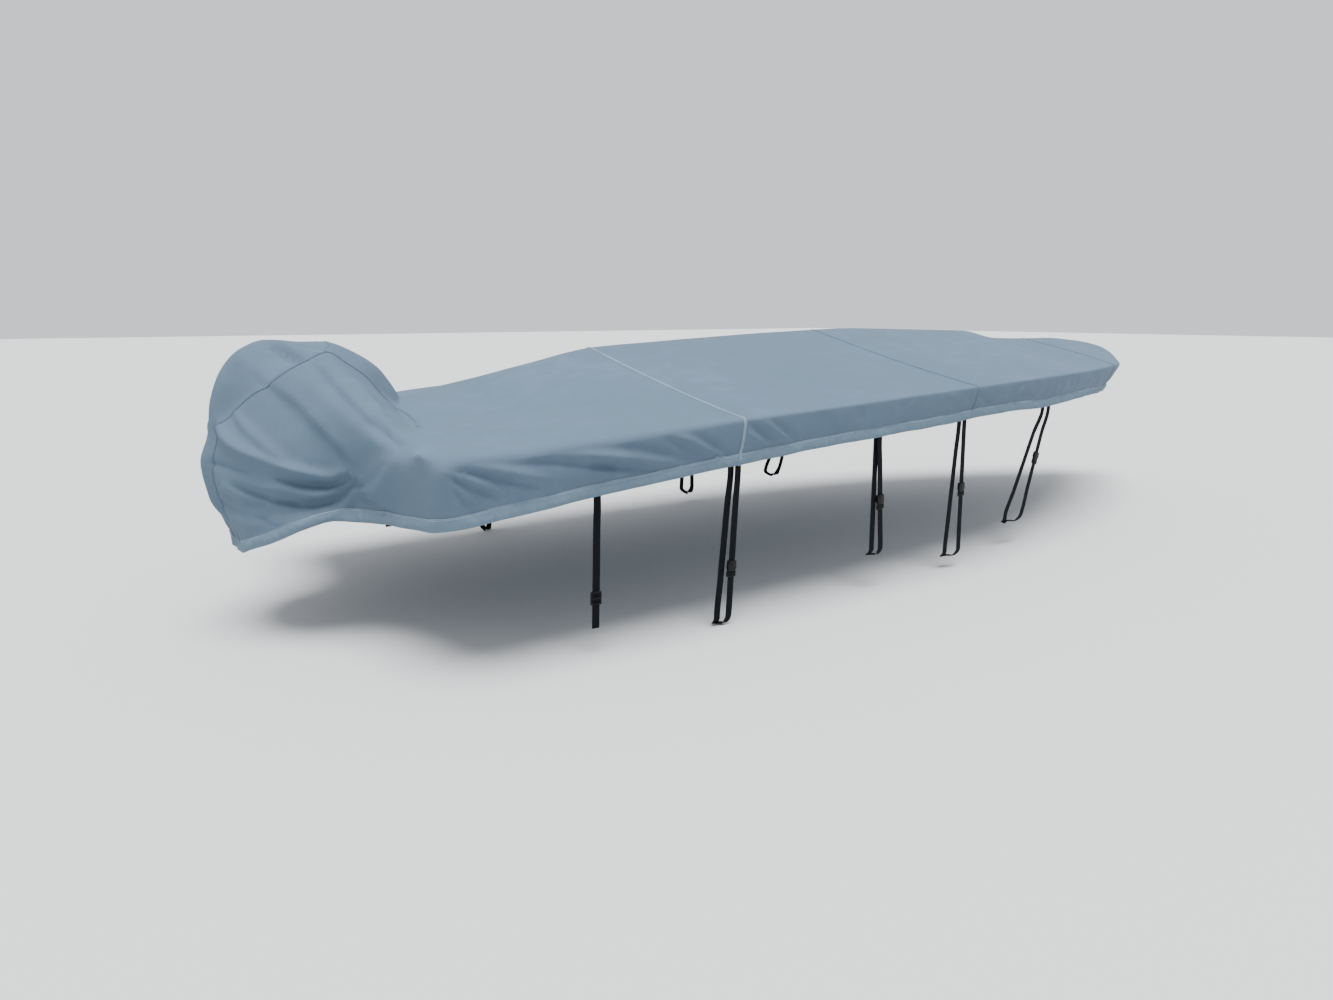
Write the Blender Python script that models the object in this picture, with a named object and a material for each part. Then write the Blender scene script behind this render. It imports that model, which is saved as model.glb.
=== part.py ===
"""A fitted boat cover with a hood at its stern, in the shape that it keeps when it is in place.

The cover is one skin of blue-grey cloth, cut as a stern, a middle, a bow and a nose panel, with
four more pieces for the hood. Its rim is the crease between the tented top and the side drops.
Webbing tie-downs hang from the hem on both sides.

Frame: +X to the bow, +Y to port, +Z up, in metres. The origin lies on the centreline at
mid-length, level with the rim's stern corners. Stations in the tables are distances from the
stern along X, and every other size is as cut.
"""

import math
from collections import namedtuple

import bmesh
import bpy
import numpy as np
from mathutils import Vector

# Overall sizes
LENGTH = 4.68
BEAM = 1.793
WIDEST_STATION = 1.57
OUTLINE_POWER = 2.32
OUTLINE_BLUNTNESS = 0.912
STERN_NARROWING = 0.067

# Cloth
CLOTH = 0.002
SEAM_GAP = 0.0003
SEAM_STATIONS = (0.986, 2.154, 3.76)
TENT_POWER_AFT = 1.15
TENT_POWER_BOW = 0.90
TENT_CHANGE = (3.2, 3.8)
STERN_BLEND = 0.16
STERN_LEAN = 0.035
STERN_LEAN_REACH = 0.30
TUCK_POWER = 1.3
NOSE_TUCK_WIDTH = 0.25
NOSE_FOLD_WIDTH = 0.20
FOLD_START = 1 / 6
FOLD_END_SHARE = 0.35

# Webbing and buckles
WEBBING_WIDTH = 0.025
WEBBING = 0.0016
TUCK_UNDER = 0.022
TUCK_CLEARANCE = 0.0045
WRAP_DEPTH = 0.045
LAYER_STEP = 0.006
WRAP_FALL = 0.023
HEM_FALL = 0.012
LEG_SHARES = (0.25, 0.5, 0.75, 1.0)
BUCKLE_LENGTH = 0.052
BUCKLE_WIDTH = 0.036
BUCKLE_DEPTH = 0.010
SLOT_WIDTH = 0.028
SLOT_DEPTH = 0.0032

# How finely the skin is divided
SIDE_CELLS = 5
STERN_CELLS = 14
MIDDLE_CELLS = 13
BOW_CELLS = 15
NOSE_CELLS = 11
RIB_CELLS = 7
SINGLE_CELLS = 8
LOOP_CELLS = 24
ACROSS = (1.0, 0.93, 0.86)

Section = namedtuple("Section", "station rim ridge drop tuck rake edge")
SECTIONS = (
    Section(0.00, 0.000, 0.070, 0.200, 0.022, 0.00, 0.028),
    Section(0.24, 0.006, 0.086, 0.180, 0.026, 0.00, 0.028),
    Section(0.42, 0.015, 0.097, 0.170, 0.028, 0.00, 0.026),
    Section(0.54, 0.021, 0.140, 0.164, 0.030, 0.00, 0.024),
    Section(0.72, 0.030, 0.178, 0.155, 0.030, 0.00, 0.020),
    Section(1.00, 0.042, 0.230, 0.144, 0.030, 0.00, 0.014),
    Section(1.37, 0.056, 0.251, 0.132, 0.030, 0.00, 0.012),
    Section(1.85, 0.076, 0.273, 0.129, 0.030, 0.00, 0.012),
    Section(2.35, 0.091, 0.288, 0.121, 0.030, 0.00, 0.012),
    Section(2.75, 0.098, 0.280, 0.131, 0.030, 0.00, 0.012),
    Section(3.24, 0.101, 0.265, 0.124, 0.036, 0.00, 0.012),
    Section(3.50, 0.101, 0.226, 0.130, 0.052, 0.00, 0.012),
    Section(3.76, 0.099, 0.221, 0.136, 0.068, 0.00, 0.012),
    Section(4.00, 0.093, 0.219, 0.142, 0.082, 0.01, 0.012),
    Section(4.18, 0.088, 0.208, 0.146, 0.088, 0.02, 0.011),
    Section(4.37, 0.083, 0.196, 0.150, 0.078, 0.04, 0.009),
    Section(4.56, 0.079, 0.176, 0.156, 0.052, 0.07, 0.007),
    Section(4.68, 0.077, 0.078, 0.162, 0.020, 0.11, 0.006),
)

# Each rib of the hood runs from its seam down to its foot. The crown is on the centreline, seam
# and foot are the starboard ones with y counted outwards. The feet from the first to the "deck"
# rib lie on the top, then down the stern drop to the "drop" rib, and then along the hood's hem.
Rib = namedtuple("Rib", "seam_x seam_y seam_z crown_x crown_z foot_x foot_y foot_z bulge")
RIBS = (
    Rib(0.168, 0.170, 0.053, 0.235, 0.088, 0.168, 0.170, 0.053, 0.000),
    Rib(0.120, 0.170, 0.112, 0.204, 0.141, 0.152, 0.310, 0.040, -0.010),
    Rib(0.078, 0.170, 0.166, 0.164, 0.191, 0.130, 0.430, 0.028, -0.018),
    Rib(0.020, 0.170, 0.210, 0.096, 0.235, 0.085, 0.545, 0.015, -0.018),
    Rib(-0.037, 0.170, 0.245, 0.016, 0.268, 0.000, 0.644, 0.001, -0.012),
    Rib(-0.098, 0.170, 0.221, -0.070, 0.272, 0.000, 0.545, -0.068, 0.012),
    Rib(-0.155, 0.165, 0.192, -0.165, 0.280, 0.000, 0.450, -0.125, 0.034),
    Rib(-0.205, 0.146, 0.155, -0.240, 0.254, 0.000, 0.336, -0.247, 0.050),
    Rib(-0.245, 0.110, 0.122, -0.300, 0.190, -0.085, 0.296, -0.240, 0.048),
    Rib(-0.290, 0.070, 0.070, -0.334, 0.100, -0.165, 0.272, -0.260, 0.044),
    Rib(-0.328, 0.048, 0.000, -0.350, 0.005, -0.208, 0.228, -0.286, 0.036),
    Rib(-0.354, 0.042, -0.085, -0.378, -0.085, -0.241, 0.182, -0.308, 0.024),
    Rib(-0.346, 0.038, -0.185, -0.364, -0.185, -0.266, 0.130, -0.327, 0.014),
    Rib(-0.310, 0.036, -0.278, -0.315, -0.276, -0.282, 0.078, -0.344, 0.006),
    Rib(-0.284, 0.036, -0.356, -0.280, -0.360, -0.284, 0.036, -0.356, 0.000),
)
HOOD_MIDDLE = -0.12
DECK_RIB = 4
SHORT_SEAM_RIB = 4
DROP_RIB = 7
HEM_CELLS = 9

# Folds are soft ridges, or troughs where the height is negative. On a side x is the station and z
# is counted from the rim. On the hood both are the place itself.
Fold = namedtuple("Fold", "from_x from_z to_x to_z half_width height")
SIDE_FOLDS = (
    Fold(0.04, -0.01, 0.59, -0.125, 0.020, 0.010),
    Fold(0.18, -0.00, 0.85, -0.125, 0.022, -0.009),
    Fold(0.01, -0.03, 0.22, -0.130, 0.018, 0.009),
    Fold(0.00, -0.01, 0.33, -0.120, 0.016, -0.006),
    Fold(0.48, -0.01, 0.93, -0.120, 0.018, 0.010),
    Fold(1.05, -0.00, 1.24, -0.100, 0.022, 0.007),
    Fold(1.82, -0.02, 1.72, -0.100, 0.030, 0.005),
    Fold(2.18, -0.02, 2.28, -0.090, 0.026, -0.006),
    Fold(2.90, -0.01, 2.78, -0.100, 0.030, 0.004),
    Fold(3.35, -0.01, 3.50, -0.100, 0.035, -0.004),
)
HOOD_FOLDS = (
    Fold(-0.350, 0.067, -0.215, -0.065, 0.026, 0.014),
    Fold(-0.215, -0.065, 0.000, -0.150, 0.024, 0.018),
    Fold(-0.350, 0.010, -0.160, -0.115, 0.022, -0.012),
    Fold(-0.340, -0.070, -0.106, -0.156, 0.022, 0.011),
    Fold(-0.250, 0.170, -0.110, -0.008, 0.034, -0.010),
    Fold(-0.120, 0.160, -0.010, 0.002, 0.040, 0.008),
    Fold(0.060, 0.002, 0.100, -0.033, 0.030, -0.012),
    Fold(-0.270, -0.170, -0.180, -0.270, 0.030, -0.008),
    Fold(-0.120, -0.170, -0.090, -0.240, 0.030, 0.008),
)
PORT_FOLD_SHARE = 0.8

# Tie-downs: one leg runs from the hem at "top" down to the wrap at "aft", and the other from
# "fore" back up to the hem, where the two hang "spread" apart. A single strap has the same
# station for both and ends at "low".
TieDown = namedtuple("TieDown", "top spread aft fore low buckle")
TIE_DOWNS = (
    TieDown(0.490, 0.000, 0.478, 0.478, -0.540, -0.450),
    TieDown(0.980, 0.024, 0.918, 0.960, -0.590, -0.435),
    TieDown(1.628, 0.012, 1.622, 1.662, -0.470, -0.300),
    TieDown(2.117, 0.024, 2.062, 2.137, -0.548, -0.310),
    TieDown(2.812, 0.034, 2.575, 2.680, -0.495, -0.255),
)

# A buckle's outline along its length, as shares of its full width and depth.
Buckle = namedtuple("Buckle", "along wide deep")
BUCKLE_OUTLINE = (
    Buckle(-0.50, 0.86, 0.60),
    Buckle(-0.40, 1.00, 1.00),
    Buckle(-0.12, 1.00, 1.00),
    Buckle(0.00, 0.88, 0.92),
    Buckle(0.12, 1.00, 1.00),
    Buckle(0.40, 1.00, 1.00),
    Buckle(0.50, 0.86, 0.60),
)

CLOTH_COLOUR = (0.30, 0.38, 0.45)
HOOD_COLOUR = (0.29, 0.37, 0.44)
WEBBING_COLOUR = (0.018, 0.018, 0.020)
BUCKLE_COLOUR = (0.012, 0.012, 0.013)
CLOTH_ROUGHNESS = 0.85
BUCKLE_ROUGHNESS = 0.45

PANELS = (
    "panel_stern",
    "panel_middle",
    "panel_bow",
    "panel_nose",
    "hood_side_starboard",
    "hood_side_port",
    "hood_front",
    "hood_top",
)
STARBOARD, PORT = -1, 1


def curve_through(places, values):
    """Returns a smooth function through the points that never swings past them."""
    xs = np.array(places, float)
    ys = np.array(values, float)
    steps = np.diff(ys) / np.diff(xs)
    both = steps[:-1] * steps[1:]
    total = steps[:-1] + steps[1:]
    inner = np.where(both > 0, 2 * both / np.where(both > 0, total, 1), 0)
    slopes = np.concatenate((steps[:1], inner, steps[-1:]))

    def value(x):
        i = int(np.clip(np.searchsorted(xs, x) - 1, 0, len(xs) - 2))
        h = xs[i + 1] - xs[i]
        t = min(max((x - xs[i]) / h, 0), 1)
        near = (1 + 2 * t) * (1 - t) ** 2 * ys[i] + t * (1 - t) ** 2 * h * slopes[i]
        far = t * t * (3 - 2 * t) * ys[i + 1] + t * t * (t - 1) * h * slopes[i + 1]
        return near + far

    return value


def columns_of(rows, places):
    """Returns a smooth function for each named column of a table."""
    return {
        name: curve_through(places, [getattr(row, name) for row in rows])
        for name in rows[0]._fields
    }


SECTION = columns_of(SECTIONS, [row.station for row in SECTIONS])
RIB = columns_of(RIBS, range(len(RIBS)))


def mix(a, b, share):
    return a + (b - a) * share


def soft_step(x, start, end):
    t = min(max((x - start) / (end - start), 0), 1)
    return t * t * (3 - 2 * t)


def half_width(station):
    """Half the width between the rims, full at the widest station and closing at the nose."""
    aft = max(0, (WIDEST_STATION - station) / WIDEST_STATION)
    fore = min(max(0, (station - WIDEST_STATION) / (LENGTH - WIDEST_STATION)), 1)
    closing = (1 - fore**OUTLINE_POWER) ** OUTLINE_BLUNTNESS
    return BEAM / 2 * (1 - STERN_NARROWING * aft**2) * closing


def edge_radius(station):
    return min(SECTION["edge"](station), half_width(station) / 2)


def top_height(station, y):
    """Height of the tented top, which falls from the ridge to the rims."""
    rim = SECTION["rim"](station)
    out = min(abs(y) / max(half_width(station), 1e-4), 1)
    power = mix(TENT_POWER_AFT, TENT_POWER_BOW, soft_step(station, *TENT_CHANGE))
    return rim + (SECTION["ridge"](station) - rim) * (1 - out) ** power


def fold_height(folds, x, z):
    """How far the folds push the cloth out at a place."""
    total = 0
    for fold in folds:
        start = Vector((fold.from_x, fold.from_z))
        run = Vector((fold.to_x, fold.to_z)) - start
        along = min(max((Vector((x, z)) - start).dot(run) / run.length_squared, 0), 1)
        off = (Vector((x, z)) - start - run * along).length / fold.half_width
        fade = mix(FOLD_END_SHARE, 1, math.sin(math.pi * along))
        total += fold.height * math.exp(-off * off) * fade
    return total


def side_point(station, down, side):
    """A point on a side drop, from the rim at 0 down to the hem's edge at 1."""
    radius = edge_radius(station)
    width = half_width(station)
    fall = radius + (SECTION["drop"](station) - radius) * down
    tuck = SECTION["tuck"](station) * down**TUCK_POWER * min(width / NOSE_TUCK_WIDTH, 1)
    share = 1 if side == STARBOARD else PORT_FOLD_SHARE
    keep = min(width / NOSE_FOLD_WIDTH, 1) * min(down / FOLD_START, 1)
    push = share * keep * fold_height(SIDE_FOLDS, station, -fall)
    lean = STERN_LEAN * (1 - soft_step(station, 0, STERN_LEAN_REACH))
    x = station + (lean - SECTION["rake"](station)) * down
    return Vector((x, side * (width - tuck + push), SECTION["rim"](station) - fall))


def edge_point(station, side):
    """The middle of the rounded crease between a side drop and the top."""
    inset = edge_radius(station) * (1 - math.sqrt(0.5))
    y = side * (half_width(station) - inset)
    return Vector((station, y, SECTION["rim"](station) - inset))


def top_point(station, out, side):
    """A point on the top, out from the ridge at 0 to where the crease starts at 1."""
    y = out * (half_width(station) - edge_radius(station))
    return Vector((station, side * y, top_height(station, y)))


def foot_point(rib, side):
    return Vector((RIB["foot_x"](rib), side * RIB["foot_y"](rib), RIB["foot_z"](rib)))


def seam_point(rib, side):
    return Vector((RIB["seam_x"](rib), side * RIB["seam_y"](rib), RIB["seam_z"](rib)))


def side_stations(start, end, cells):
    """Evenly spaced stations, drawn together at the nose, where the outline turns."""
    shares = [i / cells for i in range(cells + 1)]
    if end == LENGTH:
        shares = [math.sin(share * math.pi / 2) for share in shares]
    return [mix(start, end, share) for share in shares]


def foot_ribs():
    """The ribs whose feet are corners of the top's aft edge, from its corner inwards."""
    return [DECK_RIB * (1 - i / SIDE_CELLS) for i in range(SIDE_CELLS + 1)]


def gusset_shares():
    """How far out the front gusset's foot is divided, between its seam and the centreline."""
    return (2 / 3, 1 / 3, 0)


def gusset_point(rib, share, side):
    """A point between the centreline's crown at 0 and the hood's seam at 1."""
    seam = seam_point(rib, side)
    crown = Vector((RIB["crown_x"](rib), 0, RIB["crown_z"](rib)))
    round_over = math.sin(share * math.pi / 2) ** 2
    x = mix(crown.x, seam.x, round_over)
    return Vector((x, seam.y * share, mix(crown.z, seam.z, round_over)))


def aft_edge(side):
    """The top's aft edge, from the stern's corner in to the centreline."""
    points = [Vector((0, top_point(0, out, side).y, 0)) for out in ACROSS]
    points += [foot_point(rib, side) for rib in foot_ribs()]
    points += [gusset_point(0, share, side) for share in gusset_shares()]
    return points


def top_rows(side, stations):
    """Rows of top points at stations, with the columns that the aft edge sets."""
    outs = []
    for point in aft_edge(side):
        reach = half_width(point.x) - edge_radius(point.x)
        outs.append(min(abs(point.y) / reach, 1))
    return [[top_point(station, out, side) for out in outs] for station in stations]


def stern_top_rows(side):
    """Rows of the stern's top, which start on its aft edge instead of on one station."""
    edge = aft_edge(side)
    end = SEAM_STATIONS[0]
    rows = []
    for i in range(STERN_CELLS + 1):
        row = []
        for start in edge:
            station = mix(start.x, end, i / STERN_CELLS)
            reach = half_width(start.x) - edge_radius(start.x)
            point = top_point(station, min(abs(start.y) / reach, 1), side)
            fade = max(0, 1 - (station - start.x) / STERN_BLEND) ** 2
            point.z += fade * (start.z - top_height(start.x, start.y))
            row.append(point)
        rows.append(row)
    return rows


def drop_edge(side):
    """Down the fold where the hood meets the stern drop, from the rim to the hem."""
    return [foot_point(mix(DECK_RIB, DROP_RIB, i / SIDE_CELLS), side) for i in range(SIDE_CELLS + 1)]


def stern_drop_rows(side):
    """The narrow drop between the stern's corner and the hood, filled in from its four edges."""
    outer = [side_point(0, i / SIDE_CELLS, side) for i in range(SIDE_CELLS + 1)]
    inner = drop_edge(side)
    top = [outer[0], edge_point(0, side)] + aft_edge(side)[: len(ACROSS)] + [inner[0]]
    count = len(top) - 1
    rows = []
    for i in range(SIDE_CELLS + 1):
        down = i / SIDE_CELLS
        row = []
        for j in range(count + 1):
            across = j / count
            point = top[j] * (1 - down) + outer[-1].lerp(inner[-1], across) * down
            point += outer[i] * (1 - across) + inner[i] * across
            ends = outer[0].lerp(inner[0], across) * (1 - down)
            point -= ends + outer[-1].lerp(inner[-1], across) * down
            row.append(point)
        rows.append(row)
    return rows


def rib_numbers():
    """The ribs that carry a row of points, spaced to match the panels that they meet."""
    deck = sorted(foot_ribs())
    drop = [mix(DECK_RIB, DROP_RIB, i / SIDE_CELLS) for i in range(1, SIDE_CELLS + 1)]
    last = len(RIBS) - 1
    hem = [mix(DROP_RIB, last, i / HEM_CELLS) for i in range(1, HEM_CELLS + 1)]
    return deck + drop + hem


def hood_side_rows(side):
    """Rows of a hood side, from its seam down to its foot, along every rib."""
    share = 1 if side == STARBOARD else PORT_FOLD_SHARE
    rows = []
    for rib in rib_numbers():
        seam = seam_point(rib, side)
        foot = foot_point(rib, side)
        row = []
        for i in range(RIB_CELLS + 1):
            down = i / RIB_CELLS
            point = seam.lerp(foot, down)
            arch = 4 * down * (1 - down)
            push = RIB["bulge"](rib) + share * fold_height(HOOD_FOLDS, point.x, point.z)
            out = Vector((point.x - HOOD_MIDDLE, point.y, 0)).normalized()
            row.append(point + out * arch * push)
        rows.append(row)
    return rows


def strip_rows(ribs):
    """Rows across the hood's strip, from seam to seam over the crown."""
    shares = (1,) + gusset_shares()
    rows = []
    for rib in ribs:
        starboard = [gusset_point(rib, share, STARBOARD) for share in shares]
        port = [gusset_point(rib, share, PORT) for share in shares]
        rows.append(starboard + port[-2::-1])
    return rows


def add_patch(skin, panel, rows):
    """Adds quads between rows of points and marks them with the number of their panel."""
    number = skin.faces.layers.int["panel"]
    points = [[skin.verts.new(point) for point in row] for row in rows]
    for row, after in zip(points, points[1:]):
        for a, b, c, d in zip(row, row[1:], after[1:], after):
            face = skin.faces.new((a, b, c, d))
            face[number] = PANELS.index(panel)


def make_skin():
    """The whole cover as one skin, whose patches share the points along their seams."""
    skin = bmesh.new()
    skin.faces.layers.int.new("panel")
    limits = (0,) + SEAM_STATIONS + (LENGTH,)
    cells = (STERN_CELLS, MIDDLE_CELLS, BOW_CELLS, NOSE_CELLS)
    for side in (STARBOARD, PORT):
        for panel, start, end, count in zip(PANELS, limits, limits[1:], cells):
            stations = side_stations(start, end, count)
            drops = [
                [side_point(station, i / SIDE_CELLS, side) for i in range(SIDE_CELLS, -1, -1)]
                for station in stations
            ]
            if start == 0:
                tops = stern_top_rows(side)
            else:
                tops = top_rows(side, stations)
            rows = [
                drop + [edge_point(station, side)] + top
                for drop, station, top in zip(drops, stations, tops)
            ]
            add_patch(skin, panel, rows)
        add_patch(skin, "panel_stern", stern_drop_rows(side))
    add_patch(skin, "hood_side_starboard", hood_side_rows(STARBOARD))
    add_patch(skin, "hood_side_port", hood_side_rows(PORT))
    ribs = rib_numbers()
    short_seam = ribs.index(SHORT_SEAM_RIB)
    add_patch(skin, "hood_front", strip_rows(ribs[: short_seam + 1]))
    add_patch(skin, "hood_top", strip_rows(ribs[short_seam:]))
    bmesh.ops.remove_doubles(skin, verts=skin.verts, dist=1e-5)
    bmesh.ops.translate(skin, verts=skin.verts, vec=(-LENGTH / 2, 0, 0))
    bmesh.ops.recalc_face_normals(skin, faces=skin.faces)
    highest = max(skin.faces, key=lambda face: face.calc_center_median().z)
    if highest.normal.z < 0:
        bmesh.ops.reverse_faces(skin, faces=skin.faces)
    skin.normal_update()
    skin.verts.index_update()
    return skin


def into_panel(vert, faces, number):
    """The way from a point on a seam into the panel that these faces belong to."""
    way = Vector()
    for face in faces:
        toward = face.calc_center_median() - vert.co
        for edge in face.edges:
            shared = any(other[number] != face[number] for other in edge.link_faces)
            if vert in edge.verts and shared:
                across = face.normal.cross(edge.verts[1].co - edge.verts[0].co).normalized()
                way += across if across.dot(toward) > 0 else -across
        if way.length < 1e-6:
            way += toward * 1e-3
    return way.normalized()


def add_wall(sheet, outer, inner, start, end):
    """Closes a sheet's edge, cut along the same diagonal as the wall of the piece beside it."""
    if start.index < end.index:
        sheet.faces.new((outer[start], inner[end], outer[end]))
        sheet.faces.new((outer[start], inner[start], inner[end]))
    else:
        sheet.faces.new((outer[end], outer[start], inner[start]))
        sheet.faces.new((outer[end], inner[start], inner[end]))


def triangles_of(face):
    """A face's corners as triangles, cut along its shorter diagonal."""
    corners = tuple(face.verts)
    if len(corners) == 3:
        return [corners]
    a, b, c, d = corners
    if (a.co - c.co).length <= (b.co - d.co).length:
        return [(a, b, c), (a, c, d)]
    return [(a, b, d), (b, c, d)]


def panel_mesh(skin, panel):
    """One panel of the skin as a closed sheet, a little short of the seams around it."""
    number = skin.faces.layers.int["panel"]
    mine = PANELS.index(panel)
    faces = [face for face in skin.faces if face[number] == mine]
    sheet = bmesh.new()
    outer = {}
    inner = {}
    for vert in dict.fromkeys(vert for face in faces for vert in face.verts):
        place = vert.co.copy()
        around = [face for face in vert.link_faces if face[number] == mine]
        if len(around) < len(vert.link_faces):
            place += into_panel(vert, around, number) * SEAM_GAP
        outer[vert] = sheet.verts.new(place)
        inner[vert] = sheet.verts.new(place - vert.normal * CLOTH)
    for face in faces:
        for corners in triangles_of(face):
            sheet.faces.new([outer[vert] for vert in corners])
            sheet.faces.new([inner[vert] for vert in reversed(corners)])
        for loop in face.loops:
            if sum(other[number] == mine for other in loop.edge.link_faces) == 1:
                start, end = loop.vert, loop.link_loop_next.vert
                add_wall(sheet, outer, inner, start, end)
    mesh = bpy.data.meshes.new(panel)
    sheet.to_mesh(mesh)
    sheet.free()
    return mesh


def new_material(name, colour, roughness):
    material = bpy.data.materials.new(name)
    material.use_nodes = True
    shader = material.node_tree.nodes["Principled BSDF"]
    shader.inputs["Base Color"].default_value = (*colour, 1)
    shader.inputs["Roughness"].default_value = roughness
    shader.inputs["Metallic"].default_value = 0
    material.diffuse_color = (*colour, 1)
    return material


def new_object(name, mesh, material):
    mesh.materials.append(material)
    obj = bpy.data.objects.new(name, mesh)
    bpy.context.scene.collection.objects.link(obj)
    return obj


def strap_route(tie, side):
    """The middle line of a tie-down, from behind the hem round its wrap and up to the tail."""
    aft_top = tie.top - tie.spread / 2
    fore_top = tie.top + tie.spread / 2
    beside = (aft_top - WEBBING_WIDTH / 2, fore_top + WEBBING_WIDTH / 2)
    y = min(abs(side_point(station, 1, side).y) for station in beside)
    y -= CLOTH + TUCK_CLEARANCE
    behind = y - LAYER_STEP
    hem = side_point(tie.top, 1, side).z
    points = [
        Vector((aft_top, behind, hem + TUCK_UNDER)),
        Vector((aft_top, behind, hem - HEM_FALL)),
    ]
    for down in LEG_SHARES:
        points.append(Vector((mix(aft_top, tie.aft, down), behind, mix(hem, tie.low, down))))
    if tie.aft != tie.fore:
        below = tie.low - WRAP_FALL
        points += [
            Vector((mix(tie.aft, tie.fore, 0.3), behind - WRAP_DEPTH / 2, below)),
            Vector((mix(tie.aft, tie.fore, 0.7), y - WRAP_DEPTH / 4, below)),
        ]
        for down in reversed(LEG_SHARES):
            points.append(Vector((mix(fore_top, tie.fore, down), y, mix(hem, tie.low, down))))
        points += [
            Vector((fore_top, y, hem - HEM_FALL)),
            Vector((fore_top, y, hem + TUCK_UNDER)),
        ]
    return [Vector((p.x - LENGTH / 2, side * p.y, p.z)) for p in points]


def smooth_route(points, cells):
    """Points on a smooth curve through a route, evenly numbered along it."""
    lengths = [0]
    for a, b in zip(points, points[1:]):
        lengths.append(lengths[-1] + (b - a).length)
    axes = [curve_through(lengths, [point[i] for point in points]) for i in range(3)]
    steps = [lengths[-1] * i / cells for i in range(cells + 1)]
    return [Vector([axis(step) for axis in axes]) for step in steps]


def ribbon_mesh(name, points, width, thickness):
    """A flat strip along points, whose width keeps as near to X as its run allows.

    Its two broad faces are cut along the same diagonals, so that they stay apart where it twists.
    """
    ribbon = bmesh.new()
    rings = []
    for i, point in enumerate(points):
        run = (points[min(i + 1, len(points) - 1)] - points[max(i - 1, 0)]).normalized()
        wide = Vector((1, 0, 0))
        wide = (wide - run * wide.dot(run)).normalized() * width / 2
        thick = run.cross(wide).normalized() * thickness / 2
        corners = (wide + thick, wide - thick, -wide - thick, -wide + thick)
        rings.append([ribbon.verts.new(point + corner) for corner in corners])
    for ring, after in zip(rings, rings[1:]):
        for i, j in ((0, 1), (1, 2), (2, 3), (0, 3)):
            ribbon.faces.new((ring[i], ring[j], after[j]))
            ribbon.faces.new((ring[i], after[j], after[i]))
    ribbon.faces.new(rings[0])
    ribbon.faces.new(reversed(rings[-1]))
    bmesh.ops.recalc_face_normals(ribbon, faces=ribbon.faces)
    mesh = bpy.data.meshes.new(name)
    ribbon.to_mesh(mesh)
    ribbon.free()
    return mesh


def buckle_mesh(name, middle, run):
    """A sleeve with shoulders and a waist round the webbing at one place of its run."""
    wide = Vector((1, 0, 0))
    wide = (wide - run * wide.dot(run)).normalized()
    thick = run.cross(wide).normalized()
    buckle = bmesh.new()
    rings = []
    for cut in BUCKLE_OUTLINE:
        place = middle + run * cut.along * BUCKLE_LENGTH
        ring = []
        sizes = ((cut.wide * BUCKLE_WIDTH, cut.deep * BUCKLE_DEPTH), (SLOT_WIDTH, SLOT_DEPTH))
        for width, depth in sizes:
            for across, out in ((1, 1), (1, -1), (-1, -1), (-1, 1)):
                offset = wide * across * width / 2 + thick * out * depth / 2
                ring.append(buckle.verts.new(place + offset))
        rings.append(ring)
    for i in range(4):
        j = (i + 1) % 4
        for ring, after in zip(rings, rings[1:]):
            buckle.faces.new((ring[i], ring[j], after[j], after[i]))
            buckle.faces.new((ring[i + 4], after[i + 4], after[j + 4], ring[j + 4]))
        for ring in (rings[0], rings[-1]):
            buckle.faces.new((ring[i], ring[i + 4], ring[j + 4], ring[j]))
    bmesh.ops.recalc_face_normals(buckle, faces=buckle.faces)
    mesh = bpy.data.meshes.new(name)
    buckle.to_mesh(mesh)
    buckle.free()
    return mesh


def buckle_place(route, tie):
    """Where the outer leg passes the buckle's height, and the way that it runs there."""
    for start, end in reversed(list(zip(route, route[1:]))):
        if (start.z - tie.buckle) * (end.z - tie.buckle) <= 0:
            share = (tie.buckle - start.z) / (end.z - start.z)
            return start.lerp(end, share), (end - start).normalized()
    return route[-1], Vector((0, 0, 1))


def build_cover():
    skin = make_skin()
    for panel in PANELS:
        colour = CLOTH_COLOUR if panel.startswith("panel") else HOOD_COLOUR
        material = new_material(panel + "_cloth", colour, CLOTH_ROUGHNESS)
        new_object(panel, panel_mesh(skin, panel), material)
    skin.free()


def build_tie_down(tie, side, suffix):
    cells = SINGLE_CELLS if tie.aft == tie.fore else LOOP_CELLS
    route = smooth_route(strap_route(tie, side), cells)
    webbing = new_material(f"webbing_{suffix}", WEBBING_COLOUR, CLOTH_ROUGHNESS)
    strap = f"strap_{suffix}"
    new_object(strap, ribbon_mesh(strap, route, WEBBING_WIDTH, WEBBING), webbing)
    plastic = new_material(f"plastic_{suffix}", BUCKLE_COLOUR, BUCKLE_ROUGHNESS)
    buckle = f"buckle_{suffix}"
    new_object(buckle, buckle_mesh(buckle, *buckle_place(route, tie)), plastic)


def main():
    for obj in list(bpy.data.objects):
        bpy.data.objects.remove(obj, do_unlink=True)
    build_cover()
    for side, word in ((STARBOARD, "starboard"), (PORT, "port")):
        for number, tie in enumerate(TIE_DOWNS, 1):
            build_tie_down(tie, side, f"{number}_{word}")


main()
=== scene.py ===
"""The looks of a fitted boat cover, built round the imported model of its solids.

Run it as a script in Blender. The cloth is one fine skin on the form of the solids, divided into
the same panels, with its folds laid on as soft ridges and troughs. Its hem is a folded band and its
seams are raised laps, both with rows of stitches.

Frame: +X to the bow, +Y to port, +Z up, in metres, with the origin on the centreline at
mid-length, level with the rim's stern corners. Stations are distances from the stern along X.
"""

import math
from collections import namedtuple
from functools import partial
from itertools import product

import bmesh
import bpy
import numpy as np
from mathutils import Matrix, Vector
from mathutils.bvhtree import BVHTree
from mathutils.kdtree import KDTree


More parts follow.
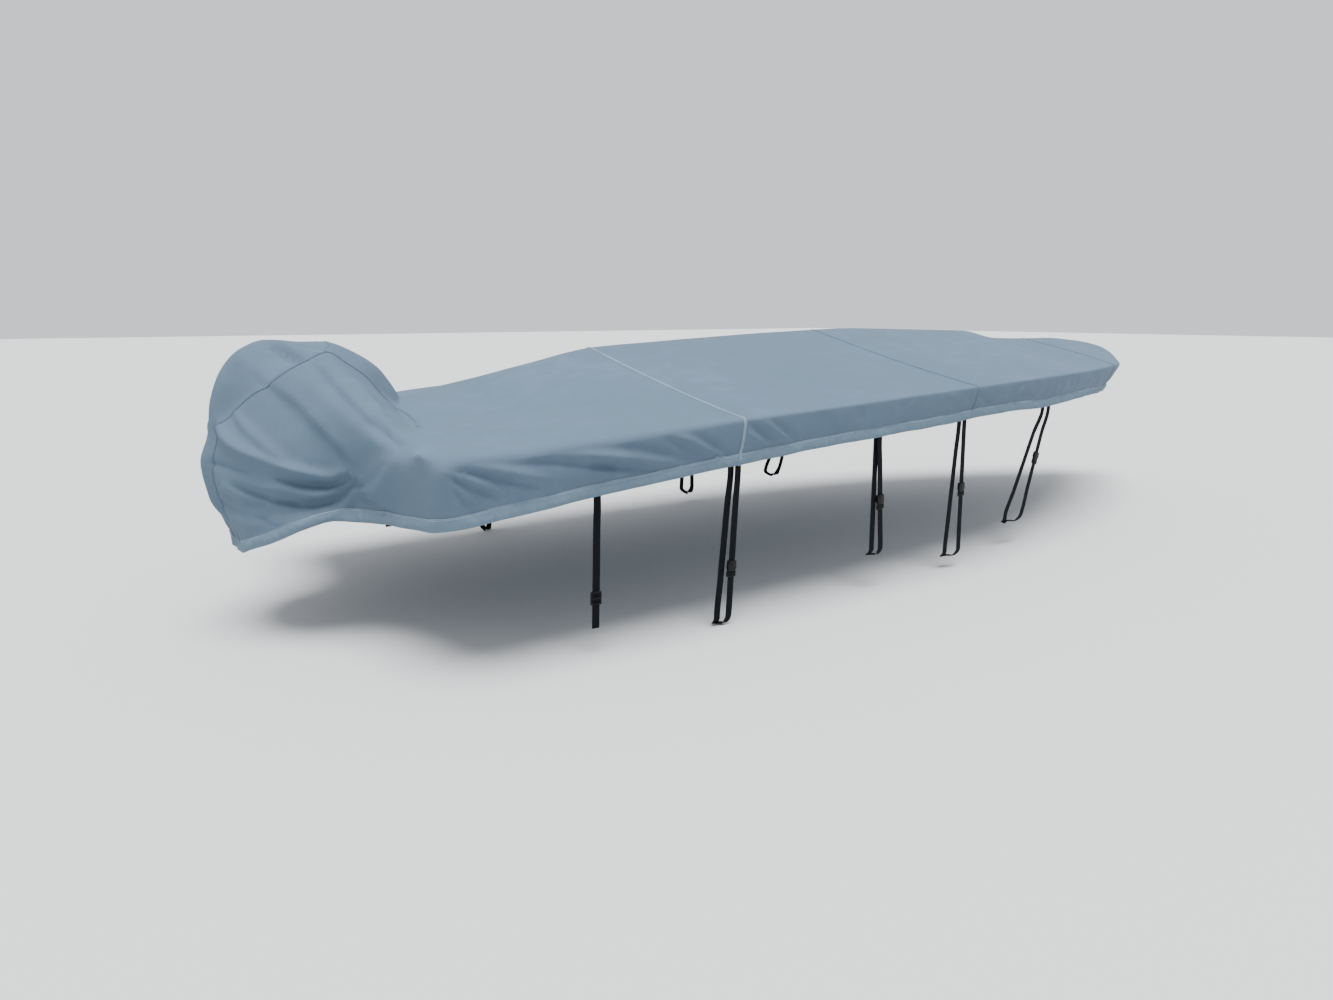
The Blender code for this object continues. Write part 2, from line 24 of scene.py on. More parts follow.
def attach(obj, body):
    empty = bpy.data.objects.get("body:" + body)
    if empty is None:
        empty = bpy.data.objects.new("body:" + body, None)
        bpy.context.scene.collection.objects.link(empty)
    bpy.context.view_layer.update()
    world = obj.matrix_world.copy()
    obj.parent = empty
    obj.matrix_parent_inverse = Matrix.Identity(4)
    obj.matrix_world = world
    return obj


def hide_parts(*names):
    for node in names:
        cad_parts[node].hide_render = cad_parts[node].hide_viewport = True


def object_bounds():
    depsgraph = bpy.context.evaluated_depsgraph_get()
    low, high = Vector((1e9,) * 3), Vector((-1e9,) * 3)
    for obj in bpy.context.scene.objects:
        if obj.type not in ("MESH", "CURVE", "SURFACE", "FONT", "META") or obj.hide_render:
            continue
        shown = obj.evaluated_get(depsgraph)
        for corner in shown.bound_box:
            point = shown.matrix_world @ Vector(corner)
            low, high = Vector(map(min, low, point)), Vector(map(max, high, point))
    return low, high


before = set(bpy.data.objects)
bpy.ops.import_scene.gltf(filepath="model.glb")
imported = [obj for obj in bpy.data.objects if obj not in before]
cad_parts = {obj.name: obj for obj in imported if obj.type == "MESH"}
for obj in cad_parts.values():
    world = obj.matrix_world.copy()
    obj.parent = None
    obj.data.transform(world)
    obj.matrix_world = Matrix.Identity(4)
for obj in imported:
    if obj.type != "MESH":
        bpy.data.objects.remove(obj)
CAD_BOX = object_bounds()

bl_info = {
    "name": "Boat cover",
    "version": (1, 0, 0),
    "blender": (4, 5, 0),
    "location": "View3D > Sidebar > Boat cover",
    "description": "Builds a fitted cloth boat cover with its hood and tie-downs",
    "category": "Object",
}

# Overall sizes of the form
LENGTH = 4.68
BEAM = 1.793
WIDEST_STATION = 1.57
OUTLINE_POWER = 2.32
OUTLINE_BLUNTNESS = 0.912
STERN_NARROWING = 0.067
SEAM_STATIONS = (0.986, 2.154, 3.76)
TENT_POWER_AFT = 1.15
TENT_POWER_BOW = 0.90
TENT_CHANGE = (3.2, 3.8)
TENT_POWER_NOSE = 0.50
NOSE_CHANGE = (4.25, 4.62)
STERN_BLEND = 0.16
STERN_LEAN = 0.035
STERN_LEAN_REACH = 0.30
TUCK_POWER = 1.3
NOSE_TUCK_WIDTH = 0.25
STARBOARD, PORT = -1, 1

# How finely the skin is divided
STATION_STEP = 0.0125
NOSE_ROWS = 84
SIDE_CELLS = 17
CREASE_CELLS = 6
ACROSS_CELLS = 9
DECK_CELLS = 20
GUSSET_CELLS = 10
HEM_CELLS = 66
RIB_CELLS = 38


def rows_of(kind, unit, rows):
    """A table's rows, whose numbers are given in parts of a metre."""
    return tuple(kind(*(value / unit for value in row)) for row in rows)


Section = namedtuple("Section", "station rim ridge drop tuck rake edge")
SECTIONS = rows_of(Section, 1000, (
    (0, 0, 70, 200, 22, 0, 28), (240, 6, 86, 180, 26, 0, 28),
    (420, 15, 97, 170, 28, 0, 26), (540, 21, 140, 164, 30, 0, 24),
    (720, 30, 178, 155, 30, 0, 20), (1000, 42, 230, 144, 30, 0, 11),
    (1370, 56, 251, 132, 30, 0, 8), (1850, 76, 273, 129, 30, 0, 8),
    (2350, 91, 288, 121, 30, 0, 8), (2750, 98, 280, 131, 30, 0, 8),
    (3240, 101, 265, 124, 36, 0, 8), (3500, 101, 226, 130, 52, 0, 8),
    (3760, 99, 221, 136, 68, 0, 8), (4000, 93, 219, 142, 82, 10, 8),
    (4180, 88, 208, 146, 88, 20, 8), (4370, 83, 190, 150, 78, 40, 7),
    (4560, 79, 158, 156, 52, 70, 7), (4630, 78, 133, 160, 36, 90, 6.5),
    (4665, 77, 110, 161, 25, 105, 6), (4680, 77, 86, 162, 20, 110, 6),
))

# The hood's ribs run from its seam down to its foot, with the crown on the centreline.
Rib = namedtuple("Rib", "seam_x seam_y seam_z crown_x crown_z foot_x foot_y foot_z bulge")
RIBS = rows_of(Rib, 1000, (
    (168, 170, 53, 235, 88, 168, 170, 53, 0),
    (120, 170, 112, 204, 141, 152, 310, 40, -10),
    (78, 170, 166, 164, 191, 130, 430, 28, -18),
    (20, 170, 210, 96, 235, 85, 545, 15, -18),
    (-37, 170, 245, 16, 268, 0, 644, 1, -12),
    (-98, 170, 221, -70, 272, 0, 545, -68, 12),
    (-155, 165, 192, -165, 280, 0, 450, -125, 34),
    (-205, 146, 155, -240, 254, 0, 336, -247, 50),
    (-245, 110, 122, -300, 190, -85, 296, -240, 48),
    (-290, 70, 70, -334, 100, -165, 272, -260, 44),
    (-328, 48, 0, -350, 5, -208, 228, -286, 36),
    (-354, 42, -85, -378, -85, -241, 182, -308, 24),
    (-346, 38, -185, -364, -185, -266, 130, -327, 14),
    (-310, 36, -278, -315, -276, -282, 78, -344, 6),
    (-284, 36, -356, -280, -360, -284, 36, -356, 0),
))
HOOD_MIDDLE = -0.12
DECK_RIB = 4
DECK_SEAM_RIB = 2.2
DROP_RIB = 7
HOOD_FOLD_RIBS = (3.6, 4.6)

# Folds curve through a middle point. Heights below 0 are troughs. On a side, x is the station and
# z is counted from the rim. On the hood they are the place itself, and on the top z is y.
Fold = namedtuple("Fold", "x0 z0 x1 z1 x2 z2 width height")
SIDE_FOLDS = rows_of(Fold, 1000, (
    (63, -10, 222, -24, 534, -92, 13, -12), (23, -14, 150, -40, 355, -98, 12, 11),
    (29, -26, 141, -58, 299, -113, 11, -10), (27, -37, 96, -68, 193, -114, 11, 9),
    (33, -49, 95, -85, 170, -126, 10, -8), (44, -71, 71, -108, 101, -135, 10, 7),
    (49, -89, 64, -120, 80, -142, 10, -6), (227, -6, 368, -22, 595, -71, 14, 10),
    (479, -9, 601, -42, 815, -104, 14, -8), (445, -40, 613, -74, 764, -111, 12, 9),
    (451, -71, 564, -94, 680, -117, 12, -9), (447, -92, 515, -103, 592, -114, 10, 6),
    (721, -10, 812, -57, 932, -115, 9, 10), (674, -14, 762, -59, 852, -104, 13, -8),
    (704, -10, 745, -32, 787, -53, 8, 5), (791, -17, 854, -55, 945, -109, 12, -6),
    (1058, -4, 1106, -41, 1195, -94, 10, 9), (1005, -16, 1061, -51, 1117, -82, 12, -9),
    (1005, -45, 1038, -62, 1085, -86, 9, 6), (1035, 1, 1033, -6, 1043, -20, 9, 6),
    (1086, -9, 1141, -46, 1215, -88, 12, -5), (1775, -20, 1752, -44, 1729, -75, 14, 6),
    (1486, 2, 1492, -31, 1532, -73, 16, -5), (2164, -30, 2212, -51, 2266, -75, 14, -7),
    (2507, -18, 2475, -46, 2442, -70, 16, 6), (2469, -72, 2530, -63, 2621, -74, 12, -6),
    (2970, -49, 2917, -67, 2879, -94, 16, 5), (1955, -3, 2019, -33, 2103, -73, 20, 4),
    (1300, -6, 1360, -50, 1400, -95, 22, -3), (2500, -10, 2460, -45, 2440, -80, 22, -3),
    (3300, -10, 3400, -45, 3480, -90, 22, -5), (3550, -10, 3620, -50, 3660, -95, 18, 4),
    (3840, -8, 3860, -50, 3900, -100, 18, -4),
))
HOOD_FOLDS = rows_of(Fold, 1000, (
    (-329, 102, -308, 10, -206, -65, 12, 13), (-329, 92, -290, -10, -150, -92, 30, 16),
    (-206, -65, -118, -105, -24, -131, 13, 18), (-330, -165, -210, -205, -70, -225, 55, -20),
    (-370, -81, -326, -80, -257, -99, 12, -9), (-213, -112, -93, -135, -22, -136, 13, -17),
    (-192, -152, -107, -158, -22, -140, 11, 11), (-230, -182, -107, -184, -20, -144, 14, -16),
    (-237, -242, -83, -216, -18, -150, 20, 14), (-329, -136, -300, -162, -243, -183, 14, 11),
    (-356, -184, -311, -218, -242, -247, 15, -10), (-273, -128, -212, -141, -154, -145, 12, 7),
    (-300, -132, -247, -166, -180, -187, 14, -10), (-281, 72, -239, 16, -185, -54, 15, 10),
    (-226, 168, -155, 68, -70, -80, 24, -8), (-188, 156, -125, 77, -51, -48, 22, 6),
    (-86, 208, -51, 120, -21, 48, 26, -12), (-37, 221, 23, 149, 50, 77, 18, 8),
    (-13, 82, -3, 40, -2, 9, 20, -20), (12, -9, 2, -110, -4, -210, 26, 20),
    (-4, -50, -16, -113, -24, -177, 9, -6),
))
CROWN_FOLDS = rows_of(Fold, 1000, (
    (-183, -37, -133, -82, -101, -174, 12, -24), (-175, -20, -108, -62, -50, -165, 13, 11),
    (-257, -28, -279, -47, -295, -48, 14, -8), (-213, -80, -208, -98, -195, -137, 14, 6),
))
TOP_FOLDS = rows_of(Fold, 1000, (
    (100, -560, 340, -640, 620, -760, 40, 7), (220, -300, 500, -420, 800, -600, 60, -8),
    (300, -120, 550, -200, 860, -330, 50, 6), (20, 780, 160, 770, 340, 790, 60, -20),
    (420, 760, 560, 700, 780, 660, 50, 8), (560, 830, 600, 800, 660, 760, 30, 9),
    (700, 840, 740, 790, 800, 740, 34, -8), (1100, -800, 1400, -520, 1900, -260, 70, 5),
    (2300, -780, 2700, -500, 3100, -220, 70, -5), (2200, 800, 2600, 520, 3100, 240, 70, 5),
    (3200, -600, 3400, -300, 3500, -40, 60, -7), (3200, 600, 3400, 300, 3500, 40, 60, -7),
))
FOLD_SHARES = {STARBOARD: 1, PORT: 0.8}
FOLD_SHIFTS = {STARBOARD: 0, PORT: 0.03}
FOLD_END_SHARE = 0.35
FOLD_MARKS = 7
FOLD_CURVE = np.array(
    [
        ((2 * t - 1) * (t - 1), 4 * t * (1 - t), t * (2 * t - 1))
        for t in np.linspace(0, 1, FOLD_MARKS)
    ]
)

PANELS = (
    "panel_stern",
    "panel_middle",
    "panel_bow",
    "panel_nose",
    "hood_side_starboard",
    "hood_side_port",
    "hood_front",
    "hood_top",
)

# Tie-downs, whose legs hang from inside the hem, with z in metres from the rim's stern corners
TieDown = namedtuple("TieDown", "top spread aft fore low buckle")
TIE_DOWNS = rows_of(TieDown, 1000, (
    (490, 0, 478, 478, -540, -450), (980, 24, 918, 960, -590, -435),
    (1628, 12, 1622, 1662, -470, -300), (2117, 24, 2062, 2137, -548, -310),
    (2812, 34, 2575, 2680, -495, -255),
))
CLOTH_ROOM = 0.002
WEBBING_WIDTH = 0.025
WEBBING = 0.0016
TUCK_UNDER = 0.022
TUCK_CLEARANCE = 0.0045
WRAP_DEPTH = 0.045
LAYER_STEP = 0.006
WRAP_FALL = 0.023
WRAP_SHARES = (0.3, 0.7)
HEM_FALL = 0.012
LEG_SHARES = (0.25, 0.5, 0.75, 1.0)
SINGLE_POINTS = 16
LOOP_POINTS = 38
STRAP_STEP = 0.006

# Thin cloth laid on cloth, as places across its width and heights above the skin
Lay = namedtuple("Lay", "across rise")
HEM_HEIGHT = 0.040
HEM_BAND = rows_of(Lay, 10000, (
    (400, -6), (400, 11), (375, 9), (355, 12), (335, 9), (290, 17),
    (220, 24), (150, 27), (90, 34), (35, 33), (0, 18), (-16, 0),
    (-14, -22), (30, -38), (120, -40), (240, -40), (330, -38), (350, -12),
))
STITCH_ROWS = (Lay(0.0335, 0.0011), Lay(0.0375, 0.0011))
HEM_STEP = 0.006
RAISED_SEAM = rows_of(Lay, 10000, (
    (-50, -4), (-48, 14), (-30, 28), (0, 33), (30, 28), (48, 15), (50, -4),
))
LAPPED_SEAM = rows_of(Lay, 10000, (
    (-90, -4), (-75, 3), (-40, 8), (0, 12), (28, 15), (38, 12), (40, -5),
))
RAISED_ROWS = (Lay(-0.0030, 0.0030), Lay(0.0030, 0.0030))
LAPPED_ROWS = (Lay(-0.0045, 0.0008), Lay(0.0018, 0.0015))
SEAM_STEP = 0.006
CLOTH_CREASE = math.radians(50)

# Fine unevenness of the cloth
NOISE_CELLS = 24
SIDE_SLACK = 0.0030
TOP_SLACK = 0.0022
HOOD_SLACK = 0.0055
STRIP_SLACK_SHARE = 0.6
DROP_CREASE = 0.0015
PUCKER = 0.0034
SHEET = 0.0010
BELOW_RIM = 0.1
WELD = 1e-5
WELD_SHIFT = 0.123
HOOD_EASE = 40
EASE_REACH = 0.085
EASE_CORE = EASE_REACH * 0.3
EASE_SHARE = 0.6
EASE_PASSES = 60
EASE_MARKS = 60
HEM_MARK_STEP = 0.003
HEM_WAVE = 0.0022
HEM_GATHER = 0.0085
HEM_EASE = 6
HEM_FOLD_SHARE = 0.3
HEM_FOLD_REACH = (0.026, 0.060)
HEM_WAVE_SIZE = 0.085
HEM_WAVE_REACH = (0.01, 0.08)
Ridge = namedtuple("Ridge", "height middle width")
HEM_RIDGES = (Ridge(0.0040, 0.012, 0.016), Ridge(-0.0026, 0.042, 0.013))
PUCKER_START = (0.034, 0.058)
PUCKER_END = (0.065, 0.135)
Crinkle = namedtuple("Crinkle", "along slant across seed")
PUCKERS = (Crinkle(0.040, 7, 0.12, 3.5), Crinkle(0.019, -11, 0.08, 8.5))
GATHERS = (Crinkle(0.021, 26, 0.05, 1.7), Crinkle(0.012, -30, 0.04, 9.2))
GATHER_TOP = 0.034
FINE_CRINKLES = 0.6


def mix(a, b, share):
    return a + (b - a) * share


def soft_step(x, start, end):
    t = np.clip((np.asarray(x, float) - start) / (end - start), 0, 1)
    return t * t * (3 - 2 * t)


def curve_through(places, values):
    """Returns a smooth function through the points that never swings past them."""
    xs = np.array(places, float)
    ys = np.array(values, float)
    steps = np.diff(ys) / np.diff(xs)
    both = steps[:-1] * steps[1:]
    total = steps[:-1] + steps[1:]
    inner = np.where(both > 0, 2 * both / np.where(both > 0, total, 1), 0)
    slopes = np.concatenate((steps[:1], inner, steps[-1:]))

    def value(x):
        i = np.clip(np.searchsorted(xs, x) - 1, 0, len(xs) - 2)
        h = xs[i + 1] - xs[i]
        t = np.clip((x - xs[i]) / h, 0, 1)
        near = (1 + 2 * t) * (1 - t) ** 2 * ys[i] + t * (1 - t) ** 2 * h * slopes[i]
        far = t * t * (3 - 2 * t) * ys[i + 1] + t * t * (t - 1) * h * slopes[i + 1]
        return near + far

    return value


def columns_of(rows, places):
    """Returns a smooth function for each named column of a table."""
    return {
        name: curve_through(places, [getattr(row, name) for row in rows])
        for name in rows[0]._fields
    }


SECTION = columns_of(SECTIONS, [row.station for row in SECTIONS])
RIB = columns_of(RIBS, range(len(RIBS)))


def points_of(x, y, z):
    return np.stack(np.broadcast_arrays(x, y, z), axis=-1).astype(float)


def run_of(points, axis=0):
    """How far along a line or a grid of points each one is, from the first."""
    first = np.take(points, [0], axis=axis)
    return np.linalg.norm(np.diff(points, axis=axis, prepend=first), axis=-1).cumsum(axis=axis)


def unit(vectors):
    return vectors / np.maximum(np.linalg.norm(vectors, axis=-1, keepdims=True), 1e-12)


def half_width(station):
    """Half the width between the rims, full at the widest station and closing at the nose."""
    aft = np.maximum(0, (WIDEST_STATION - station) / WIDEST_STATION)
    fore = np.clip((station - WIDEST_STATION) / (LENGTH - WIDEST_STATION), 0, 1)
    closing = (1 - fore**OUTLINE_POWER) ** OUTLINE_BLUNTNESS
    return BEAM / 2 * (1 - STERN_NARROWING * aft**2) * closing


def edge_radius(station):
    return np.minimum(SECTION["edge"](station), half_width(station) / 2)


def reach_of(station):
    return half_width(station) - edge_radius(station)


def top_height(station, y):
    """Height of the tented top, which falls from the ridge to the rims."""
    rim = SECTION["rim"](station)
    out = np.minimum(np.abs(y) / np.maximum(half_width(station), 1e-4), 1)
    power = mix(TENT_POWER_AFT, TENT_POWER_BOW, soft_step(station, *TENT_CHANGE))
    power = mix(power, TENT_POWER_NOSE, soft_step(station, *NOSE_CHANGE))
    return rim + (SECTION["ridge"](station) - rim) * (1 - out) ** power


def stern_fade(run):
    return np.maximum(0, 1 - run / STERN_BLEND) ** 2


def side_point(station, down):
    """A point on a side drop, from the rim at 0 down to the hem's edge at 1."""
    radius = edge_radius(station)
    width = half_width(station)
    fall = radius + (SECTION["drop"](station) - radius) * down
    tuck = SECTION["tuck"](station) * down**TUCK_POWER * np.minimum(width / NOSE_TUCK_WIDTH, 1)
    lean = STERN_LEAN * (1 - soft_step(station, 0, STERN_LEAN_REACH))
    x = station + (lean - SECTION["rake"](station)) * down
    return points_of(x, width - tuck, SECTION["rim"](station) - fall)


def crease_point(station, turn):
    """A point on the round crease, from the side drop at a quarter turn to the top at 0."""
    radius = edge_radius(station)
    y = half_width(station) - radius * (1 - np.sin(turn))
    stern_y = half_width(0) - edge_radius(0) * (1 - np.sin(turn))
    z = top_height(station, y) - radius * (1 - np.cos(turn))
    return points_of(station, y, z - stern_fade(station) * top_height(0, stern_y))


def foot_point(rib):
    return points_of(RIB["foot_x"](rib), RIB["foot_y"](rib), RIB["foot_z"](rib))


def seam_point(rib):
    return points_of(RIB["seam_x"](rib), RIB["seam_y"](rib), RIB["seam_z"](rib))


def gusset_point(rib, share):
    """A point between the centreline's crown at 0 and the hood's seam at 1."""
    round_over = np.sin(share * math.pi / 2) ** 2
    x = mix(RIB["crown_x"](rib), RIB["seam_x"](rib), round_over)
    z = mix(RIB["crown_z"](rib), RIB["seam_z"](rib), round_over)
    return points_of(x, RIB["seam_y"](rib) * share, z)


def aft_edge():
    """The top's aft edge, from the stern's corner in to the centreline."""
    deck_out = float(RIB["foot_y"](DECK_RIB) / reach_of(0))
    outs = np.linspace(1, deck_out, ACROSS_CELLS + 1)[:-1]
    feet = foot_point(np.linspace(DECK_RIB, 0, DECK_CELLS + 1))
    gusset = gusset_point(0, np.linspace(1, 0, GUSSET_CELLS + 1)[1:])
    return np.concatenate((points_of(0, outs * reach_of(0), 0), feet, gusset))


# Random heights on a lattice, from which every fine unevenness is read
LATTICE = np.random.default_rng(7).uniform(-1, 1, (NOISE_CELLS,) * 3)


def soft_noise(x, y, z=0.0):
    """A smooth random height between -1 and 1, with hills about one unit apart."""
    place = np.stack(np.broadcast_arrays(x, y, z), axis=-1)
    cell = np.floor(place).astype(int)
    t = place - cell
    t = t * t * (3 - 2 * t)
    total = 0
    for corner in product((0, 1), repeat=3):
        weight = np.prod(np.where(corner, t, 1 - t), axis=-1)
        i, j, k = np.moveaxis((cell + corner) % NOISE_CELLS, -1, 0)
        total = total + weight * LATTICE[i, j, k]
    return total


def unevenness(points, coarse, fine):
    """Soft hills of two sizes at places in space."""
    big = np.moveaxis(points / coarse, -1, 0)
    small = np.moveaxis(points / fine + 5.3, -1, 0)
    return 0.75 * soft_noise(*big) + 0.35 * soft_noise(*small)


def fold_height(folds, x, z):
    """How far the folds push the cloth out at places."""
    total = np.zeros(np.broadcast(x, z).shape)
    for fold in folds:
        turns = np.array([[fold.x0, fold.z0], [fold.x1, fold.z1], [fold.x2, fold.z2]])
        marks = FOLD_CURVE @ turns
        runs = np.diff(marks, axis=0)
        lengths = np.hypot(*runs.T)
        nearest = np.full(total.shape, np.inf)
        along = np.zeros(total.shape)
        for i, (start, run, length) in enumerate(zip(marks, runs, lengths)):
            share = ((x - start[0]) * run[0] + (z - start[1]) * run[1]) / length**2
            share = np.clip(share, 0, 1)
            off = np.hypot(x - start[0] - run[0] * share, z - start[1] - run[1] * share)
            here = (lengths[:i].sum() + share * length) / lengths.sum()
            along = np.where(off < nearest, here, along)
            nearest = np.minimum(off, nearest)
        fade = mix(FOLD_END_SHARE, 1, np.sin(np.pi * along) ** 0.6)
        total += fold.height * np.exp(-((nearest / fold.width / fade) ** 2)) * fade
    return total


def side_push(points, stations, downs, side):
    """How far the folds and the slack of the cloth push a side drop out."""
    fall = SECTION["rim"](stations) - points[..., 2]
    keep = np.minimum(half_width(stations) / NOSE_TUCK_WIDTH, 1) * soft_step(downs, 0, 0.10)
    folds = fold_height(SIDE_FOLDS, stations + FOLD_SHIFTS[side], -fall)
    slack = SIDE_SLACK * unevenness(points * (1, side, 1.6), 0.21, 0.075)
    return keep * (FOLD_SHARES[side] * folds + slack)


def top_push(points, stations, out, run, side):
    """How far folds push the top up, fading at the crease and where the hood starts."""
    keep = soft_step(1 - out, 0, 0.10) * soft_step(run, -0.001, 0.06)
    folds = fold_height(TOP_FOLDS, stations, side * points[..., 1])
    slack = TOP_SLACK * unevenness(points * (1, side, 1), 0.42, 0.16)
    return keep * (folds + slack)


def side_patch(panel, start, end, side):
    """One side of a panel, from the hem up over the crease to the centreline."""
    if end == LENGTH:
        shares = np.sin(np.linspace(0, math.pi / 2, NOSE_ROWS + 1))
    else:
        shares = np.linspace(0, 1, round((end - start) / STATION_STEP) + 1)
    stations = mix(start, end, shares)[:, None]
    downs = np.linspace(1, 0, SIDE_CELLS + 1)[None, :]
    turns = np.linspace(math.pi / 2, 0, CREASE_CELLS + 1)[None, 1:-1]
    edge = aft_edge()
    outs = np.minimum(edge[:, 1] / reach_of(edge[:, 0]), 1)[None, :]
    starts = edge[None, :, 0] if start == 0 else np.full((1, len(edge)), start)
    tops = mix(starts, end, shares[:, None])
    y = outs * reach_of(tops)
    z = top_height(tops, y)
    if start == 0:
        step = edge[:, 2] - top_height(edge[:, 0], edge[:, 1])
        z = z + stern_fade(tops - starts) * step
    drop = side_point(stations, downs)
    crease = crease_point(stations, turns)
    top = points_of(tops, y, z)
    run = tops - starts if start == 0 else np.ones(tops.shape)
    push = np.concatenate(
        (
            side_push(drop, stations, downs, side),
            np.zeros(crease.shape[:2]),
            top_push(top, tops, outs, run, side),
        ),
        axis=1,
    )
    return panel, np.concatenate((drop, crease, top), axis=1) * (1, side, 1), push


def between_edges(top, outer, inner):
    """Fills a patch in from its top edge, its two sides and a straight bottom."""
    down = np.linspace(0, 1, len(outer))[:, None, None]
    run = run_of(top)
    across = (run / run[-1])[None, :, None]
    low = mix(outer[-1], inner[-1], across)
    grid = top[None] * (1 - down) + low * down
    grid = grid + outer[:, None] * (1 - across) + inner[:, None] * across
    return grid - mix(outer[0], inner[0], across) * (1 - down) - low * down


def stern_drop_patch(side):
    """The narrow drop between the stern's corner and the hood."""
    outer = side_point(0.0, np.linspace(0, 1, SIDE_CELLS + 1))
    inner = foot_point(np.linspace(DECK_RIB, DROP_RIB, SIDE_CELLS + 1))
    turns = np.linspace(math.pi / 2, 0, CREASE_CELLS + 1)[:-1]
    top = np.concatenate((crease_point(0.0, turns), aft_edge()[: ACROSS_CELLS + 1]))
    grid = between_edges(top, outer, inner)
    down = np.linspace(0, 1, SIDE_CELLS + 1)[:, None]
    out = np.linspace(0, 1, len(top))[None, :]
    middle = np.sin(np.pi * out) ** 0.7 * soft_step(down, 0, 0.3)
    creases = soft_noise(grid[..., 1] / 0.05, grid[..., 2] / 0.11, side * 2.5)
    near = FOLD_SHARES[side] * out**6 * soft_step(down, 0, 0.2)
    folds = near * fold_height(HOOD_FOLDS, grid[..., 0], grid[..., 2])
    return "panel_stern", grid * (1, side, 1), folds + DROP_CREASE * middle * creases


def blurred(grid, passes):
    """Evens out a grid along its rows, whose ends stay where they are."""
    for _ in range(passes):
        grid = np.concatenate((grid[:1], (grid[:-2] + 2 * grid[1:-1] + grid[2:]) / 4, grid[-1:]))
    return grid


def hood_side_patch(side):
    """A hood side, from its seam down to its foot, along every rib."""
    ribs = np.concatenate(hood_ribs())[:, None]
    down = np.linspace(0, 1, RIB_CELLS + 1)[None, :]
    grid = mix(seam_point(ribs), foot_point(ribs), down[..., None])
    arch = 4 * down * (1 - down)
    keep = np.maximum(soft_step(1 - down, 0, 0.10), soft_step(ribs, *HOOD_FOLD_RIBS))
    push = keep * FOLD_SHARES[side] * fold_height(HOOD_FOLDS, grid[..., 0], grid[..., 2])
    slack = HOOD_SLACK * unevenness(grid * (1, side, 1), 0.13, 0.055)
    out = points_of(grid[..., 0] - HOOD_MIDDLE, grid[..., 1], 0)
    out /= np.maximum(np.linalg.norm(out, axis=-1, keepdims=True), 1e-6)
    grid = grid + out * (arch * RIB["bulge"](ribs))[..., None]
    grid = mix(grid, blurred(grid, HOOD_EASE), np.minimum(arch * 1.5, 1)[..., None])
    panel = "hood_side_starboard" if side == STARBOARD else "hood_side_port"
    return panel, grid * (1, side, 1), push + np.minimum(arch * 1.6, 1) * slack


def strip_patch(panel, ribs):
    """The hood's strip, from seam to seam over the crown."""
    shares = np.linspace(-1, 1, 2 * GUSSET_CELLS + 1)[None, :]
    grid = gusset_point(ribs[:, None], np.abs(shares))
    grid[..., 1] *= np.sign(shares)
    middle = 1 - np.abs(shares) ** 8
    push = fold_height(CROWN_FOLDS, grid[..., 0], grid[..., 1]) * (grid[..., 2] > 0)
    slack = HOOD_SLACK * STRIP_SLACK_SHARE * unevenness(grid, 0.12, 0.05)
    edge = np.where(shares < 0, FOLD_SHARES[STARBOARD], FOLD_SHARES[PORT]) * shares**2
    edge = edge * fold_height(HOOD_FOLDS, grid[..., 0], grid[..., 2])
    return panel, grid, middle * (push + slack) + edge


def hood_ribs():
    """Rib numbers down the deck's fold, the drop's fold and the hood's hem."""
    deck = np.linspace(0, DECK_RIB, DECK_CELLS + 1)
    drop = np.linspace(DECK_RIB, DROP_RIB, SIDE_CELLS + 1)[1:]
    hem = np.linspace(DROP_RIB, len(RIBS) - 1, HEM_CELLS + 1)[1:]
    return deck, drop, hem


def patches():
    limits = (0,) + SEAM_STATIONS + (LENGTH,)
    made = []
    for side in (STARBOARD, PORT):
        for panel, start, end in zip(PANELS, limits, limits[1:]):
            made.append(side_patch(panel, start, end, side))
        made.append(stern_drop_patch(side))
        made.append(hood_side_patch(side))
    deck, drop, hem = hood_ribs()
    made.append(strip_patch("hood_front", deck))
    made.append(strip_patch("hood_top", np.concatenate((deck[-1:], drop, hem))))
    return made


def eased(points, faces, loop):
    """Rounds the skin off along the stern's corner and the folds where the hood starts."""
    down = np.linspace(0, 1, EASE_MARKS)
    marks = np.concatenate((side_point(0.0, down), foot_point(down * DROP_RIB)))
    marks -= (LENGTH / 2, 0, 0)
    tree = tree_of(marks)
    places = points.copy()
    places[:, 1] = np.abs(places[:, 1])
    off = np.full(len(points), EASE_REACH * 2)
    near = np.flatnonzero(places[:, 0] < marks[:, 0].max() + EASE_REACH)
    off[near] = [tree.find(places[i])[2] for i in near]
    share = EASE_SHARE * (1 - soft_step(off, EASE_CORE, EASE_REACH))[:, None]
    edges = np.unique(np.sort(edges_of(faces), axis=1), axis=0)
    hem = np.zeros(len(points), bool)
    hem[loop] = True
    edges = edges[~(hem[edges[:, 0]] ^ hem[edges[:, 1]])]
    ends = np.concatenate((edges, edges[:, ::-1]))
    count = np.maximum(np.bincount(ends[:, 0], minlength=len(points)), 1)[:, None]
    for _ in range(EASE_PASSES):
        sums = [np.bincount(ends[:, 0], points[ends[:, 1], i], len(points)) for i in range(3)]
        points = mix(points, np.stack(sums, axis=1) / count, share)
    return points


def hem_places(points, loop):
    """How far each point of the skin is from the hem, and where along it."""
    line, run = resampled(points[loop], HEM_MARK_STEP, closed=True)
    tree = tree_of(line)
    found = [tree.find(point) for point in points]
    return np.array([hit[2] for hit in found]), run[[hit[1] for hit in found]]


def crinkled(crinkles, run, off):
    """Slanting crinkles of two sizes, at runs along the hem and distances from it."""
    coarse, fine = (
        soft_noise(run / size.along + off * size.slant, off / size.across, size.seed)
        for size in crinkles
    )
    return coarse + FINE_CRINKLES * fine


